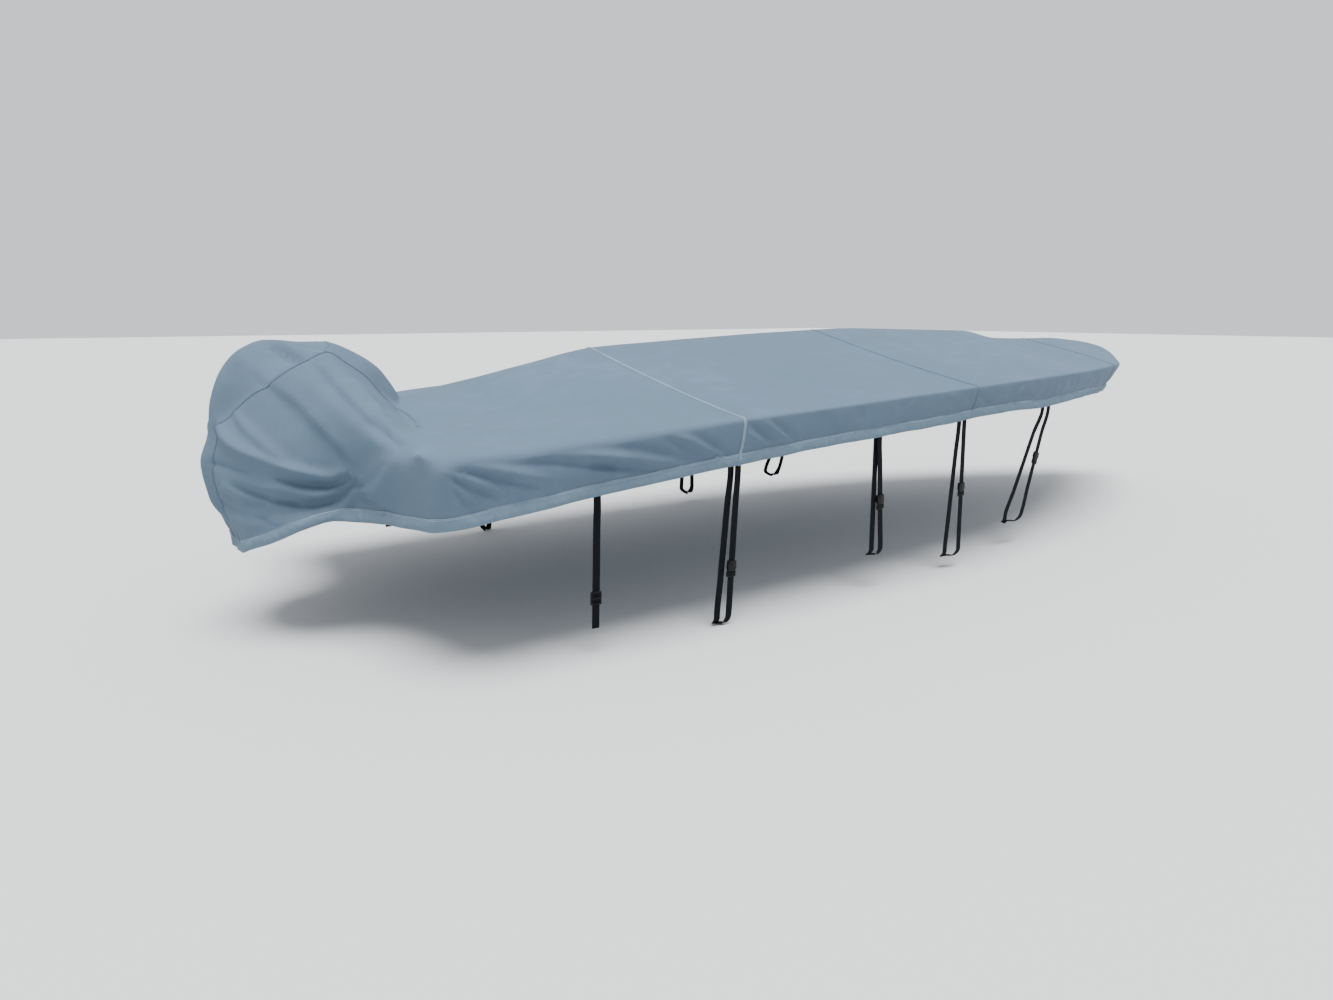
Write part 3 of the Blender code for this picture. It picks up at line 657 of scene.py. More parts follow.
def hem_push(off, run):
    """The groove under the hem's stitches, the swell of the hem and the puckers above it."""
    ridges = [
        ridge.height * np.exp(-(((off - ridge.middle) / ridge.width) ** 2)) for ridge in HEM_RIDGES
    ]
    above = soft_step(off, *PUCKER_START) * (1 - soft_step(off, *PUCKER_END))
    return sum(ridges) + PUCKER * crinkled(PUCKERS, run, off) * above


Skin = namedtuple("Skin", "base points normals faces panels corners grids hem tree")


def face_vectors(points, faces):
    """Each face's outward vector, twice as long as its area. A triangle repeats a corner."""
    a, b, c, d = (points[faces[:, i]] for i in range(4))
    return np.cross(c - a, d - b)


def surface_normals(points, faces):
    vectors = face_vectors(points, faces)
    normals = np.zeros(points.shape)
    for i in range(4):
        np.add.at(normals, faces[:, i], vectors)
    return unit(normals)


def edges_of(faces):
    """Every side of every face, as pairs of point numbers."""
    edges = np.stack((faces, np.roll(faces, -1, axis=1)), axis=-1).reshape(-1, 2)
    return edges[edges[:, 0] != edges[:, 1]]


def open_edges(faces):
    """The sides that only one face has."""
    known = set(map(tuple, edges_of(faces).tolist()))
    return [(a, b) for a, b in known if (b, a) not in known]


def tree_of(points):
    tree = KDTree(len(points))
    for i, point in enumerate(points):
        tree.insert(point, i)
    tree.balance()
    return tree


def open_loop(faces):
    """The corners along the skin's one open edge, in order, with the cloth on the left."""
    after = dict(open_edges(faces))
    loop = [min(after)]
    while after[loop[-1]] != loop[0]:
        loop.append(after[loop[-1]])
    if len(loop) != len(after):
        raise RuntimeError(f"the hem's loop has {len(loop)} of {len(after)} edges")
    return loop


def make_skin():
    """The cover as one skin, whose patches share the points along their seams."""
    made = patches()
    everything = np.concatenate([grid.reshape(-1, 3) for _, grid, _ in made])
    keys = np.round(everything / WELD + WELD_SHIFT).astype(np.int64)
    _, first, same = np.unique(keys, axis=0, return_index=True, return_inverse=True)
    same = same.reshape(-1)
    base = everything[first] - (LENGTH / 2, 0, 0)
    pushes = np.concatenate([push.reshape(-1) for _, _, push in made])
    push = np.bincount(same, pushes) / np.bincount(same)
    faces, panels, corners, grids = [], [], [], {}
    offset = 0
    for panel, grid, _ in made:
        numbers = same[offset : offset + grid[..., 0].size].reshape(grid.shape[:2])
        offset += numbers.size
        quads = np.stack(
            (numbers[:-1, :-1], numbers[:-1, 1:], numbers[1:, 1:], numbers[1:, :-1]), axis=-1
        ).reshape(-1, 4)
        cloth = np.stack((run_of(grid), run_of(grid, 1)), axis=-1)
        uv = np.stack((cloth[:-1, :-1], cloth[:-1, 1:], cloth[1:, 1:], cloth[1:, :-1]), axis=2)
        uv = uv.reshape(-1, 4, 2)
        middles = base[quads].mean(axis=1)
        heart = (HOOD_MIDDLE - LENGTH / 2, 0, 0)
        if "hood" not in panel:
            heart = middles.mean(axis=0) * (1, 0, 0) - (0, 0, BELOW_RIM)
        if (face_vectors(base, quads) * (middles - heart)).sum() < 0:
            quads, uv = quads[:, ::-1], uv[:, ::-1]
        sides = (quads != np.roll(quads, 1, axis=1)).sum(axis=1)
        keep = sides > 2
        faces.append(quads[keep])
        corners.append(uv[keep])
        panels.append(np.full(keep.sum(), PANELS.index(panel)))
        grids.setdefault(panel, []).append(numbers)
    faces, corners = np.concatenate(faces), np.concatenate(corners)
    loop = open_loop(faces)
    soft = eased(base, faces, loop)
    off, run = hem_places(soft, loop)
    push = push * mix(HEM_FOLD_SHARE, 1, soft_step(off, *HEM_FOLD_REACH)) + hem_push(off, run)
    points = soft + surface_normals(soft, faces) * push[:, None]
    wave = HEM_WAVE * soft_noise(run / HEM_WAVE_SIZE, 4.5)
    points[:, 2] += wave * (1 - soft_step(off, *HEM_WAVE_REACH))
    normals = surface_normals(points, faces)
    plain = [[v for v, last in zip(face, np.roll(face, 1)) if v != last] for face in faces.tolist()]
    tree = BVHTree.FromPolygons(points.tolist(), plain)
    return Skin(base, points, normals, faces, np.concatenate(panels), corners, grids, loop, tree)


KEPT = {}


def cover_skin():
    if "skin" not in KEPT:
        KEPT["skin"] = make_skin()
    return KEPT["skin"]


def cloth_mesh(name, points, faces, uvs):
    """A smooth mesh with cloth coordinates at its faces' corners."""
    mesh = bpy.data.meshes.new(name)
    mesh.from_pydata(points.tolist(), [], faces)
    layer = mesh.uv_layers.new(name="cloth")
    layer.uv.foreach_set("vector", np.array(uvs, np.float32).ravel())
    mesh.shade_smooth()
    return mesh


def sheet_mesh(name, points, normals, faces, corners):
    """A thin closed sheet of cloth under some faces of the skin, shaded as the whole skin is."""
    count = len(points)
    every = np.concatenate((points, points - normals * SHEET))
    facing = np.concatenate((normals, -normals))
    rim = [(b, a, a + count, b + count) for a, b in open_edges(faces)]
    loops, uvs, shading = [], [], []
    for face, cloth in zip(faces.tolist(), corners):
        used = [i for i in range(4) if face[i] != face[i - 1]]
        loops.append([face[i] for i in used])
        loops.append([face[i] + count for i in reversed(used)])
        uvs.extend(cloth[i] for i in used + used[::-1])
    shading.extend(facing[number] for face in loops for number in face)
    for face in sorted(rim):
        loops.append(face)
        uvs.extend([cloth[0]] * 4)
        a, b, c, _ = (every[number] for number in face)
        shading.extend([unit(np.cross(b - a, c - b))] * 4)
    mesh = cloth_mesh(name, every, loops, uvs)
    mesh.normals_split_custom_set(np.array(shading).tolist())
    return mesh


def placed(name, data):
    """An object in the scene, of a mesh, a camera or a light."""
    thing = bpy.data.objects.new(name, data)
    bpy.context.scene.collection.objects.link(thing)
    return thing


def new_piece(name, mesh, material, slot):
    if material:
        mesh.materials.append(material)
    piece = placed(name, mesh)
    piece["slot_name"] = slot
    return piece


def settle(piece):
    """Turns what a piece's modifiers make of it into its plain mesh, and takes them off."""
    graph = bpy.context.evaluated_depsgraph_get()
    graph.update()
    mesh = bpy.data.meshes.new_from_object(piece.evaluated_get(graph))
    piece.modifiers.clear()
    piece.data = mesh
    return piece


def hang(piece, *nodes):
    """Fixes a finished piece to the cover, in the place of its nodes."""
    slot = piece.pop("slot_name") if "slot_name" in piece else None
    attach(piece, "root")
    if nodes:
        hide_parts(*nodes)
    return piece


def join(tree, value, socket):
    """Links an output to a socket, or gives the socket a plain value."""
    value = value.socket if isinstance(value, Number) else value
    if isinstance(value, bpy.types.NodeSocket):
        tree.links.new(value, socket)
    else:
        socket.default_value = value


def add_node(tree, kind, settings=(), values=()):
    """Adds a node with its settings, then the values and links of its inputs."""
    node = tree.nodes.new(kind)
    for name, value in dict(settings).items():
        setattr(node, name, value)
    for name, value in dict(values).items():
        join(tree, value, node.inputs[name])
    return node


class Number:
    """A number on a material's socket, on which Python's operators add Math nodes."""

    def __init__(self, finish, socket):
        self.finish = finish
        self.socket = socket

    def step(self, operation, *others):
        values = {i: value for i, value in enumerate((self,) + others)}
        return self.finish.number("ShaderNodeMath", {"operation": operation}, values)

    def __add__(self, other):
        return self.step("ADD", other)

    def __sub__(self, other):
        return self.step("SUBTRACT", other)

    def __mul__(self, other):
        return self.step("MULTIPLY", other)

    def __truediv__(self, other):
        return self.step("DIVIDE", other)

    def __abs__(self):
        return self.step("ABSOLUTE")

    __radd__ = __add__
    __rmul__ = __mul__

    def wave(self, period):
        """Rises and falls between -1 and 1 once in each period."""
        return (self * (2 * math.pi / period)).step("SINE")

    def between(self, low, high):
        """0 below the low value and 1 above the high one."""
        return ((self - low) / (high - low)).step("MINIMUM", 1).step("MAXIMUM", 0)


class Finish:
    """A surface finish, whose nodes are added one call at a time."""

    def __init__(self, name, **shader):
        self.material = bpy.data.materials.new(name)
        self.material.use_nodes = True
        self.tree = self.material.node_tree
        self.shader = self.tree.nodes["Principled BSDF"]
        for socket, value in shader.items():
            self.shader.inputs[socket.replace("_", " ")].default_value = value

    def set(self, socket, value):
        join(self.tree, value, self.shader.inputs[socket])

    def node(self, kind, settings=(), values=()):
        return add_node(self.tree, kind, settings, values)

    def number(self, kind, settings=(), values=()):
        return Number(self, self.node(kind, settings, values).outputs[0])

    def noise(self, scale, detail=3.0, roughness=0.5, stretch=(1, 1, 1)):
        place = self.node("ShaderNodeTexCoord").outputs["Object"]
        scaled = self.node("ShaderNodeMapping", {}, {"Vector": place, "Scale": stretch})
        values = {"Vector": scaled.outputs[0], "Scale": scale}
        values |= {"Detail": detail, "Roughness": roughness}
        return self.number("ShaderNodeTexNoise", {}, values)

    def cloth_place(self):
        """How far a place is along and across its piece of cloth, in metres."""
        place = self.node("ShaderNodeUVMap", {"uv_map": "cloth"}).outputs[0]
        split = self.node("ShaderNodeSeparateXYZ", {}, {0: place})
        return Number(self, split.outputs[0]), Number(self, split.outputs[1])

    def blend(self, share, first, second):
        values = {0: share, 6: first, 7: second}
        return self.node("ShaderNodeMix", {"data_type": "RGBA"}, values).outputs[2]

    def bump(self, height):
        """Raises the surface by a height in metres."""
        values = {"Strength": 1.0, "Distance": 1.0, "Height": height}
        self.set("Normal", self.node("ShaderNodeBump", {}, values).outputs[0])


WEAVE_PITCH = 0.0013


def scaled(colour, share):
    return (*(channel * share for channel in colour[:3]), 1)


def cloth_finish(name, colour, wear):
    """Matt coated polyester with a plain weave, faint mottling and small crinkles."""
    finish = Finish(name, Roughness=0.78, Specular_IOR_Level=0.28)
    along, across = finish.cloth_place()
    weave = along.wave(WEAVE_PITCH) * across.wave(WEAVE_PITCH)
    clouds = finish.noise(1.7, 3.0, 0.55)
    blotches = finish.noise(14.0, 4.0, 0.6)
    grain = finish.noise(310.0, 2.0, 0.6, (1, 1, 0.5))
    crinkles = finish.noise(34.0, 4.0, 0.55)
    tone = clouds * 0.45 + blotches * 0.35 + grain * 0.20 + weave * 0.05
    pale = finish.blend(tone.between(0.36, 0.64), scaled(colour, 0.93), scaled(colour, 1.06))
    dusty = (blotches * clouds).between(0.27, 0.40) * wear
    finish.set("Base Color", finish.blend(dusty, pale, scaled(colour, 1.22)))
    finish.set("Roughness", 0.70 + 0.16 * blotches)
    finish.bump(weave * 0.00004 + crinkles * 0.0007 + grain * 0.00010)
    return finish.material


def thread_finish(name, colour):
    """Twisted sewing thread."""
    finish = Finish(name, Roughness=0.7, Specular_IOR_Level=0.2)
    tone = 0.25 * finish.noise(900.0, 2.0) + 0.75 * finish.noise(6.0, 4.0, 0.7)
    pale = finish.blend(tone.between(0.42, 0.56), scaled(colour, 0.55), scaled(colour, 1.5))
    finish.set("Base Color", pale)
    finish.bump(finish.noise(1400.0, 1.0) * 0.0002)
    return finish.material


def webbing_finish(name, colour):
    """Flat woven webbing with a herringbone face and firm edges."""
    finish = Finish(name, Roughness=0.7, Specular_IOR_Level=0.12)
    along, across = finish.cloth_place()
    slant = abs((across / 0.006).step("PINGPONG", 1))
    twill = (along + slant * 0.0035).wave(0.0024)
    ribs = along.wave(0.0012)
    dust = finish.noise(26.0, 4.0, 0.6)
    fuzz = finish.noise(500.0, 2.0)
    tone = (twill * 0.25 + 0.5) * 0.6 + dust * 0.4
    dark = finish.blend(tone.between(0.3, 0.8), scaled(colour, 0.7), scaled(colour, 1.6))
    worn = (dust * fuzz).between(0.30, 0.42) * 0.35
    finish.set("Base Color", finish.blend(worn, dark, scaled(colour, 4.0)))
    finish.set("Roughness", 0.62 + 0.2 * dust)
    finish.bump(twill * 0.00010 + ribs * 0.00003 + fuzz * 0.00008)
    return finish.material


def plastic_finish(name, colour):
    """Moulded nylon with a fine grain, paler where it has rubbed."""
    finish = Finish(name, Roughness=0.42, Specular_IOR_Level=0.18)
    grain = finish.noise(700.0, 2.0)
    rubbed = finish.noise(90.0, 5.0, 0.65)
    shade = finish.blend(rubbed.between(0.55, 0.75), scaled(colour, 1.0), scaled(colour, 1.8))
    finish.set("Base Color", shade)
    finish.set("Roughness", 0.34 + 0.22 * rubbed)
    finish.bump(grain * 0.00006)
    return finish.material


def resampled(line, step, closed=False):
    """A line's rows of numbers at even steps of its first three, and how far along they are."""
    line = np.concatenate((line, line[:1])) if closed else line
    run = run_of(line[:, :3])
    places = np.linspace(0, run[-1], round(run[-1] / step) + 1)
    places = places[:-1] if closed else places
    return np.stack([np.interp(places, run, column) for column in line.T], axis=1), places


def hem_line(skin):
    """Along the hem: its places, outward normals and ways up the cloth, at even steps."""
    loop = np.array(skin.hem)
    places, normals = skin.points[loop], skin.normals[loop]
    tangents = unit(np.roll(places, -1, axis=0) - np.roll(places, 1, axis=0))
    ups = unit(np.cross(normals, tangents))
    line, _ = resampled(np.concatenate((places, normals, ups), axis=1), HEM_STEP, True)
    for _ in range(HEM_EASE):
        near = (np.roll(line, 1, axis=0) + np.roll(line, -1, axis=0))[:, 3:]
        line[:, 3:] = (near + 2 * line[:, 3:]) / 4
    line[:, 3:6] = unit(line[:, 3:6])
    line[:, 6:] = unit(line[:, 6:])
    return line


def seam_line(skin, numbers):
    """Along a seam: its places, outward normals and ways across, at even steps."""
    numbers = [number for number, last in zip(numbers, [-1] + numbers) if number != last]
    places, normals = skin.points[numbers], skin.normals[numbers]
    line, _ = resampled(np.concatenate((places, normals), axis=1), SEAM_STEP / 2)
    tangents = unit(np.gradient(line[:, :3], axis=0))
    return np.concatenate((line, unit(np.cross(line[:, 3:6], tangents))), axis=1)


def laid_rings(skin, line, lays, puffs=None):
    """Rings of points laid on the skin along a line, one for each place of the line."""
    rings = np.zeros((len(line), len(lays), 3))
    for i, row in enumerate(line):
        place, normal, across = row[:3], row[3:6], row[6:]
        for j, lay in enumerate(lays):
            spot, facing, _, _ = skin.tree.find_nearest(Vector(place + across * lay.across))
            rise = lay.rise if puffs is None else lay.rise + puffs[i, j]
            rings[i, j] = np.array(spot) + np.array(facing) * rise
            if puffs is not None:
                rings[i, j] += across * min(lay.across, 0)
    return rings


def ring_mesh(name, rings, closed=False):
    """A closed tube through rings of points, with its own cloth coordinates."""
    count, size = rings.shape[:2]
    along = run_of(rings).mean(axis=1)
    across = run_of(np.concatenate((rings, rings[:, :1]), axis=1), 1).mean(axis=0)
    faces, uvs = [], []
    for i in range(count if closed else count - 1):
        after = (i + 1) % count
        far = along[after] if after else along[-1] + HEM_STEP
        for j in range(size):
            k = (j + 1) % size
            faces.append((i * size + j, i * size + k, after * size + k, after * size + j))
            near, wide = along[i], across[j + 1]
            uvs += [(near, across[j]), (near, wide), (far, wide), (far, across[j])]
    if not closed:
        for start in (0, (count - 1) * size):
            faces.append(tuple(range(start, start + size)))
            uvs += [(along[0], across[j]) for j in range(size)]
    mesh = cloth_mesh(name, rings.reshape(-1, 3), faces, uvs)
    mend = bmesh.new()
    mend.from_mesh(mesh)
    bmesh.ops.recalc_face_normals(mend, faces=mend.faces)
    mend.to_mesh(mesh)
    mend.free()
    mesh.set_sharp_from_angle(angle=CLOTH_CREASE)
    return mesh


def panel_piece(name, material, slot):
    """One panel of the skin as a thin closed sheet of cloth."""
    skin = cover_skin()
    mine = skin.panels == PANELS.index(name)
    used, faces = np.unique(skin.faces[mine], return_inverse=True)
    faces = faces.reshape(-1, 4)
    places, normals = skin.points[used], skin.normals[used]
    mesh = sheet_mesh(name + "_cloth", places, normals, faces, skin.corners[mine])
    return new_piece(name + "_cloth", mesh, material, slot)


# Which of a panel's runs, in per cent of them all, its cut is as long or as wide as
LONG_RUN = 90


def cut_size(name):
    """The flat width, length and area that a panel was cut to, before its folds."""
    skin = cover_skin()
    faces = skin.faces[skin.panels == PANELS.index(name)]
    area = np.linalg.norm(face_vectors(skin.base, faces), axis=1).sum() / 2
    spans = []
    for axis in (0, 1):
        runs = []
        for grid in skin.grids[name]:
            whole = run_of(skin.base[grid], axis).take(-1, axis)
            runs.append(np.percentile(whole, LONG_RUN))
        spans.append(max(runs))
    return spans, area


def cross_seam(skin, number):
    """Points along one of the seams across the cover, from hem to hem."""
    starboard, port = (skin.grids[PANELS[number]][i] for i in side_grids(number))
    return list(starboard[-1]) + list(port[-1][::-1])


def hood_seam(grid):
    """Points along a hood seam, from where it fades out on the deck, up and round to the hem."""
    on_deck = round(DECK_CELLS * DECK_SEAM_RIB / DECK_RIB)
    return list(grid[on_deck:0:-1, -1]) + list(grid[:, 0])


def side_grids(number):
    """Where a panel's two sides are in its list of patches."""
    return (0, 2) if number == 0 else (0, 1)


def stitch_tree(material):
    """Sews rows of thread along lines, one small stitch at every step."""
    tree = bpy.data.node_groups.new("Stitch rows", "GeometryNodeTree")
    shape, size = "NodeSocketGeometry", "NodeSocketFloat"
    for name, kind in (("Lines", shape), ("Step", size), ("Length", size), ("Thickness", size)):
        tree.interface.new_socket(name=name, in_out="INPUT", socket_type=kind)
    tree.interface.new_socket(name="Stitches", in_out="OUTPUT", socket_type=shape)
    add = partial(add_node, tree)
    start = add("NodeGroupInput").outputs
    curve = add("GeometryNodeMeshToCurve", {}, {"Mesh": start["Lines"]}).outputs[0]
    values = {"Curve": curve, "Length": start["Step"]}
    points = add("GeometryNodeResampleCurve", {"mode": "LENGTH"}, values).outputs[0]
    along = add("GeometryNodeInputTangent").outputs[0]
    turn = add("FunctionNodeAlignRotationToVector", {"axis": "Z"}, {"Vector": along}).outputs[0]
    values = {"Segments": 4, "Rings": 4, "Radius": 0.5}
    bead = add("GeometryNodeMeshUVSphere", {}, values).outputs[0]
    thick = start["Thickness"]
    size = add("ShaderNodeCombineXYZ", {}, {0: thick, 1: thick, 2: start["Length"]}).outputs[0]
    values = {"Points": points, "Instance": bead, "Rotation": turn, "Scale": size}
    sewn = add("GeometryNodeInstanceOnPoints", {}, values).outputs[0]
    real = add("GeometryNodeRealizeInstances", {}, {0: sewn}).outputs[0]
    smooth = add("GeometryNodeSetShadeSmooth", {}, {0: real}).outputs[0]
    done = add("GeometryNodeSetMaterial", {}, {0: smooth, "Material": material}).outputs[0]
    add("NodeGroupOutput", {}, {0: done})
    return tree


def stitch_piece(name, lines, tree, settings, slot):
    """Stitches along lines of points, each of which is open or closed."""
    points, edges = [], []
    for line, closed in lines:
        first = len(points)
        points.extend(line.tolist())
        edges.extend((first + i, first + i + 1) for i in range(len(line) - 1))
        if closed:
            edges.append((len(points) - 1, first))
    mesh = bpy.data.meshes.new(name)
    mesh.from_pydata(points, edges, [])
    piece = new_piece(name, mesh, None, slot)
    rows = piece.modifiers.new("Stitch rows", "NODES")
    rows.node_group = tree
    sizes = {"Step": settings.stitch_step, "Length": settings.stitch_length}
    sizes["Thickness"] = settings.thread_thickness
    for item in tree.interface.items_tree:
        if item.name in sizes and item.in_out == "INPUT":
            rows[item.identifier] = sizes[item.name]
    return settle(piece)


def strap_route(tie, side):
    """The middle line of a tie-down, from behind the hem round its wrap and up to the tail."""
    aft_top = tie.top - tie.spread / 2
    fore_top = tie.top + tie.spread / 2
    beside = np.array((aft_top - WEBBING_WIDTH / 2, fore_top + WEBBING_WIDTH / 2))
    y = side_point(beside, 1)[:, 1].min() - CLOTH_ROOM - TUCK_CLEARANCE
    behind = y - LAYER_STEP
    hem = float(side_point(tie.top, 1)[2])
    points = [(aft_top, behind, hem + TUCK_UNDER), (aft_top, behind, hem - HEM_FALL)]
    for down in LEG_SHARES:
        points.append((mix(aft_top, tie.aft, down), behind, mix(hem, tie.low, down)))
    if tie.aft != tie.fore:
        below = tie.low - WRAP_FALL
        near, far = (mix(tie.aft, tie.fore, share) for share in WRAP_SHARES)
        points += [(near, behind - WRAP_DEPTH / 2, below), (far, y - WRAP_DEPTH / 4, below)]
        for down in reversed(LEG_SHARES):
            points.append((mix(fore_top, tie.fore, down), y, mix(hem, tie.low, down)))
        points += [(fore_top, y, hem - HEM_FALL), (fore_top, y, hem + TUCK_UNDER)]
    return np.array(points) * (1, side, 1) - (LENGTH / 2, 0, 0)


def smooth_route(points, cells):
    """Points on a smooth curve through a route, evenly numbered along it."""
    lengths = run_of(points)
    places = np.linspace(0, lengths[-1], cells + 1)
    return np.stack([curve_through(lengths, column)(places) for column in points.T], axis=1)


def length_of(points):
    return float(run_of(points)[-1])


WEBBING_EDGE = rows_of(Lay, 1000, (
    (500, 100), (485, 420), (440, 500), (0, 440),
))


def webbing_rings(points, width, thickness):
    """Rings of a flat strip, whose width keeps as near to X as its run allows."""
    runs = unit(np.gradient(points, axis=0))
    wide = np.array((1.0, 0, 0)) - runs * runs[:, :1]
    wide = unit(wide) * width
    thick = unit(np.cross(runs, wide)) * thickness
    quarter = [(lay.across, lay.rise) for lay in WEBBING_EDGE]
    upper = quarter + [(-across, rise) for across, rise in quarter[-2::-1]]
    outline = upper + [(across, -rise) for across, rise in upper[::-1]]
    rings = [points + wide * across + thick * rise for across, rise in outline]
    return np.stack(rings, axis=1)


def route_place(route, height):
    """Where a route's outer leg passes a height, and the way that it runs there."""
    for start, end in zip(route[-2::-1], route[:0:-1]):
        if (start[2] - height) * (end[2] - height) <= 0:
            share = (height - start[2]) / (end[2] - start[2])
            return mix(start, end, share), unit(end - start)
    raise RuntimeError(f"the webbing doesn't pass {height}")


# A buckle's bars, from start to end along the webbing, out from its middle, and in depth
Bar = namedtuple("Bar", "start end out half_start half_end back front")
SIDE_RELEASE = rows_of(Bar, 1000, (
    (2, 26, 0, 17.6, 14.6, 1.2, 5), (2, 26, 0, 17.6, 14.6, -5, -1.2),
    (11, 25, 15.4, 1.9, 1.4, -3.4, 3.4), (-9, 1.4, 0, 14.4, 14.8, 1.2, 4.2),
    (-9, 1.4, 0, 14.4, 14.8, -4.2, -1.2), (-3, 11, 15.6, 1.6, 2.2, -3, 3),
    (-26, -9, 15.2, 1.9, 2.2, -2.9, 2.9), (-26, -22, 0, 14.6, 14.6, 1, 3.4),
    (-26, -22, 0, 14.6, 14.6, -3.4, -1), (-17.5, -14, 0, 14.6, 14.6, 1, 4.2),
    (21.5, 25.4, 0, 13.2, 13.2, 4.4, 5.6), (5, 17, 0, 5, 8, 4.6, 5.5),
))
LADDER = rows_of(Bar, 1000, (
    (-19, 19, 15.6, 2, 2, -3, 3), (-19, -15, 0, 15, 15, 1, 3.6),
    (-19, -15, 0, 15, 15, -3.6, -1), (-2.5, 2.5, 0, 15, 15, 1, 4.4),
    (15, 21, 0, 15.6, 12, 1, 3.6), (15, 21, 0, 15.6, 12, -3.6, -1),
))
BUCKLE_EDGE = 0.0007
BUCKLE_CREASE = math.radians(35)


def buckle_piece(name, bars, middle, run, material):
    """A buckle round the webbing, made of bevelled bars."""
    wide = unit(np.array((1.0, 0, 0)) - run * run[0])
    thick = unit(np.cross(run, wide))
    thick = thick if thick[1] * middle[1] > 0 else -thick
    buckle = bmesh.new()
    for bar in bars:
        for hand in (1, -1) if bar.out else (1,):
            corners = []
            for place, half in ((bar.start, bar.half_start), (bar.end, bar.half_end)):
                sizes = ((half, bar.front), (half, bar.back), (-half, bar.back), (-half, bar.front))
                for across, depth in sizes:
                    spot = wide * (hand * bar.out + across) + run * place + thick * depth
                    corners.append(buckle.verts.new(middle + spot))
            buckle.faces.new(corners[:4])
            buckle.faces.new(corners[:3:-1])
            for i in range(4):
                j = (i + 1) % 4
                buckle.faces.new((corners[i], corners[i + 4], corners[j + 4], corners[j]))
    bmesh.ops.recalc_face_normals(buckle, faces=buckle.faces)
    mesh = bpy.data.meshes.new(name)
    buckle.to_mesh(mesh)
    buckle.free()
    piece = new_piece(name, mesh, material, "buckle_plastic")
    edges = piece.modifiers.new("Edges", "BEVEL")
    edges.width = BUCKLE_EDGE
    edges.segments = 2
    settle(piece)
    piece.data.shade_smooth()
    piece.data.set_sharp_from_angle(angle=BUCKLE_CREASE)
    return piece


def length_prop(name, default, note):
    return bpy.props.FloatProperty(
        name=name, description=note, default=default, unit="LENGTH", subtype="DISTANCE", precision=4
    )


def colour_prop(name, default, note):
    return bpy.props.FloatVectorProperty(
        name=name, description=note, default=default, size=3, subtype="COLOR", min=0, max=1
    )


class CoverSizes(bpy.types.PropertyGroup):
    """The sizes and colours of the cover's trim"""

    cloth_colour: colour_prop("Cloth", (0.081, 0.125, 0.176), "Colour of the body's cloth")
    hood_colour: colour_prop("Hood", (0.080, 0.124, 0.173), "Colour of the hood's cloth")
    # Painted highlight: the hem is the body's cloth, painted lighter here for the light that falls
    # on its tilted band.
    hem_lit_colour: colour_prop("Hem", (0.106, 0.160, 0.214), "Colour of the folded hem")
    # Painted highlight: the aft seam's lap is the body's cloth, painted paler here for the light on
    # its raised band.
    seam_lit_colour: colour_prop("Seam", (0.150, 0.215, 0.275), "Colour of the aft seam's raised lap")
    thread_colour: colour_prop("Pale thread", (0.27, 0.34, 0.40), "Thread of the hem and aft seam")
    dull_colour: colour_prop("Dull thread", (0.050, 0.082, 0.118), "Thread of the other seams")
    webbing_colour: colour_prop("Webbing", (0.0010, 0.0018, 0.0032), "Colour of the tie-downs")
    plastic_colour: colour_prop("Buckles", (0.0025, 0.0026, 0.0030), "Colour of the buckles")
    stitch_step: length_prop("Stitch step", 0.0062, "Distance from one stitch to the next")
    stitch_length: length_prop("Stitch length", 0.0050, "Length of a stitch")
    thread_thickness: length_prop("Thread", 0.0015, "Thickness of the thread")
    wear: bpy.props.FloatProperty(
        name="Wear",
        description="How dusty the cloth is",
        default=0.35,
        min=0,
        max=1,
        subtype="FACTOR",
    )


def settings_of(context):
    return context.scene.boat_cover


def finish_of(name, make, *values):
    """A finish that is made once and then shared."""
    if name not in KEPT:
        KEPT[name] = make(name, *values)
    return KEPT[name]


def cloth_of(name, sizes, colour):
    return finish_of(name, cloth_finish, colour, sizes.wear)


class AddCamera(bpy.types.Operator):
    """Adds the camera at the photograph's viewing angle"""

    bl_idname = "boat_cover.camera"
    bl_label = "Camera"

    def execute(self, context):
        lens = bpy.data.cameras.new("Camera")
        lens.sensor_width = 36
        lens.lens = 25.656
        camera = placed("Camera", lens)
        camera.location = (-3.2623, -3.0645, 0.3602)
        camera.rotation_euler = [math.radians(angle) for angle in (78.806, 0, -36.494)]
        context.scene.camera = camera
        return {"FINISHED"}


class AddTieDowns(bpy.types.Operator):
    """Adds the webbing tie-downs with their buckles"""

    bl_idname = "boat_cover.tie_downs"
    bl_label = "Tie-downs"

    def execute(self, context):
        sizes = settings_of(context)
        webbing = finish_of("webbing", webbing_finish, sizes.webbing_colour)
        plastic = finish_of("buckle plastic", plastic_finish, sizes.plastic_colour)
        for side, word in ((STARBOARD, "starboard"), (PORT, "port")):
            for number, tie in enumerate(TIE_DOWNS, 1):
                single = tie.aft == tie.fore
                turns = strap_route(tie, side)
                route = smooth_route(turns, SINGLE_POINTS if single else LOOP_POINTS)
                fine = smooth_route(turns, round(length_of(route) / STRAP_STEP))
                node = f"{number}_{word}"
                rings = webbing_rings(fine, WEBBING_WIDTH, WEBBING)
                mesh = ring_mesh(f"tie_down_{node}", rings)
                strap = new_piece(f"tie_down_{node}", mesh, webbing, "webbing")
                middle, run = route_place(route, tie.buckle)
                run = run if run[2] > 0 else -run
                bars = LADDER if single else SIDE_RELEASE
                buckle = buckle_piece(f"side_buckle_{node}", bars, middle, run, plastic)
                hang(strap, f"strap_{node}")
                hang(buckle, f"buckle_{node}")
                length_of(fine)
        return {"FINISHED"}


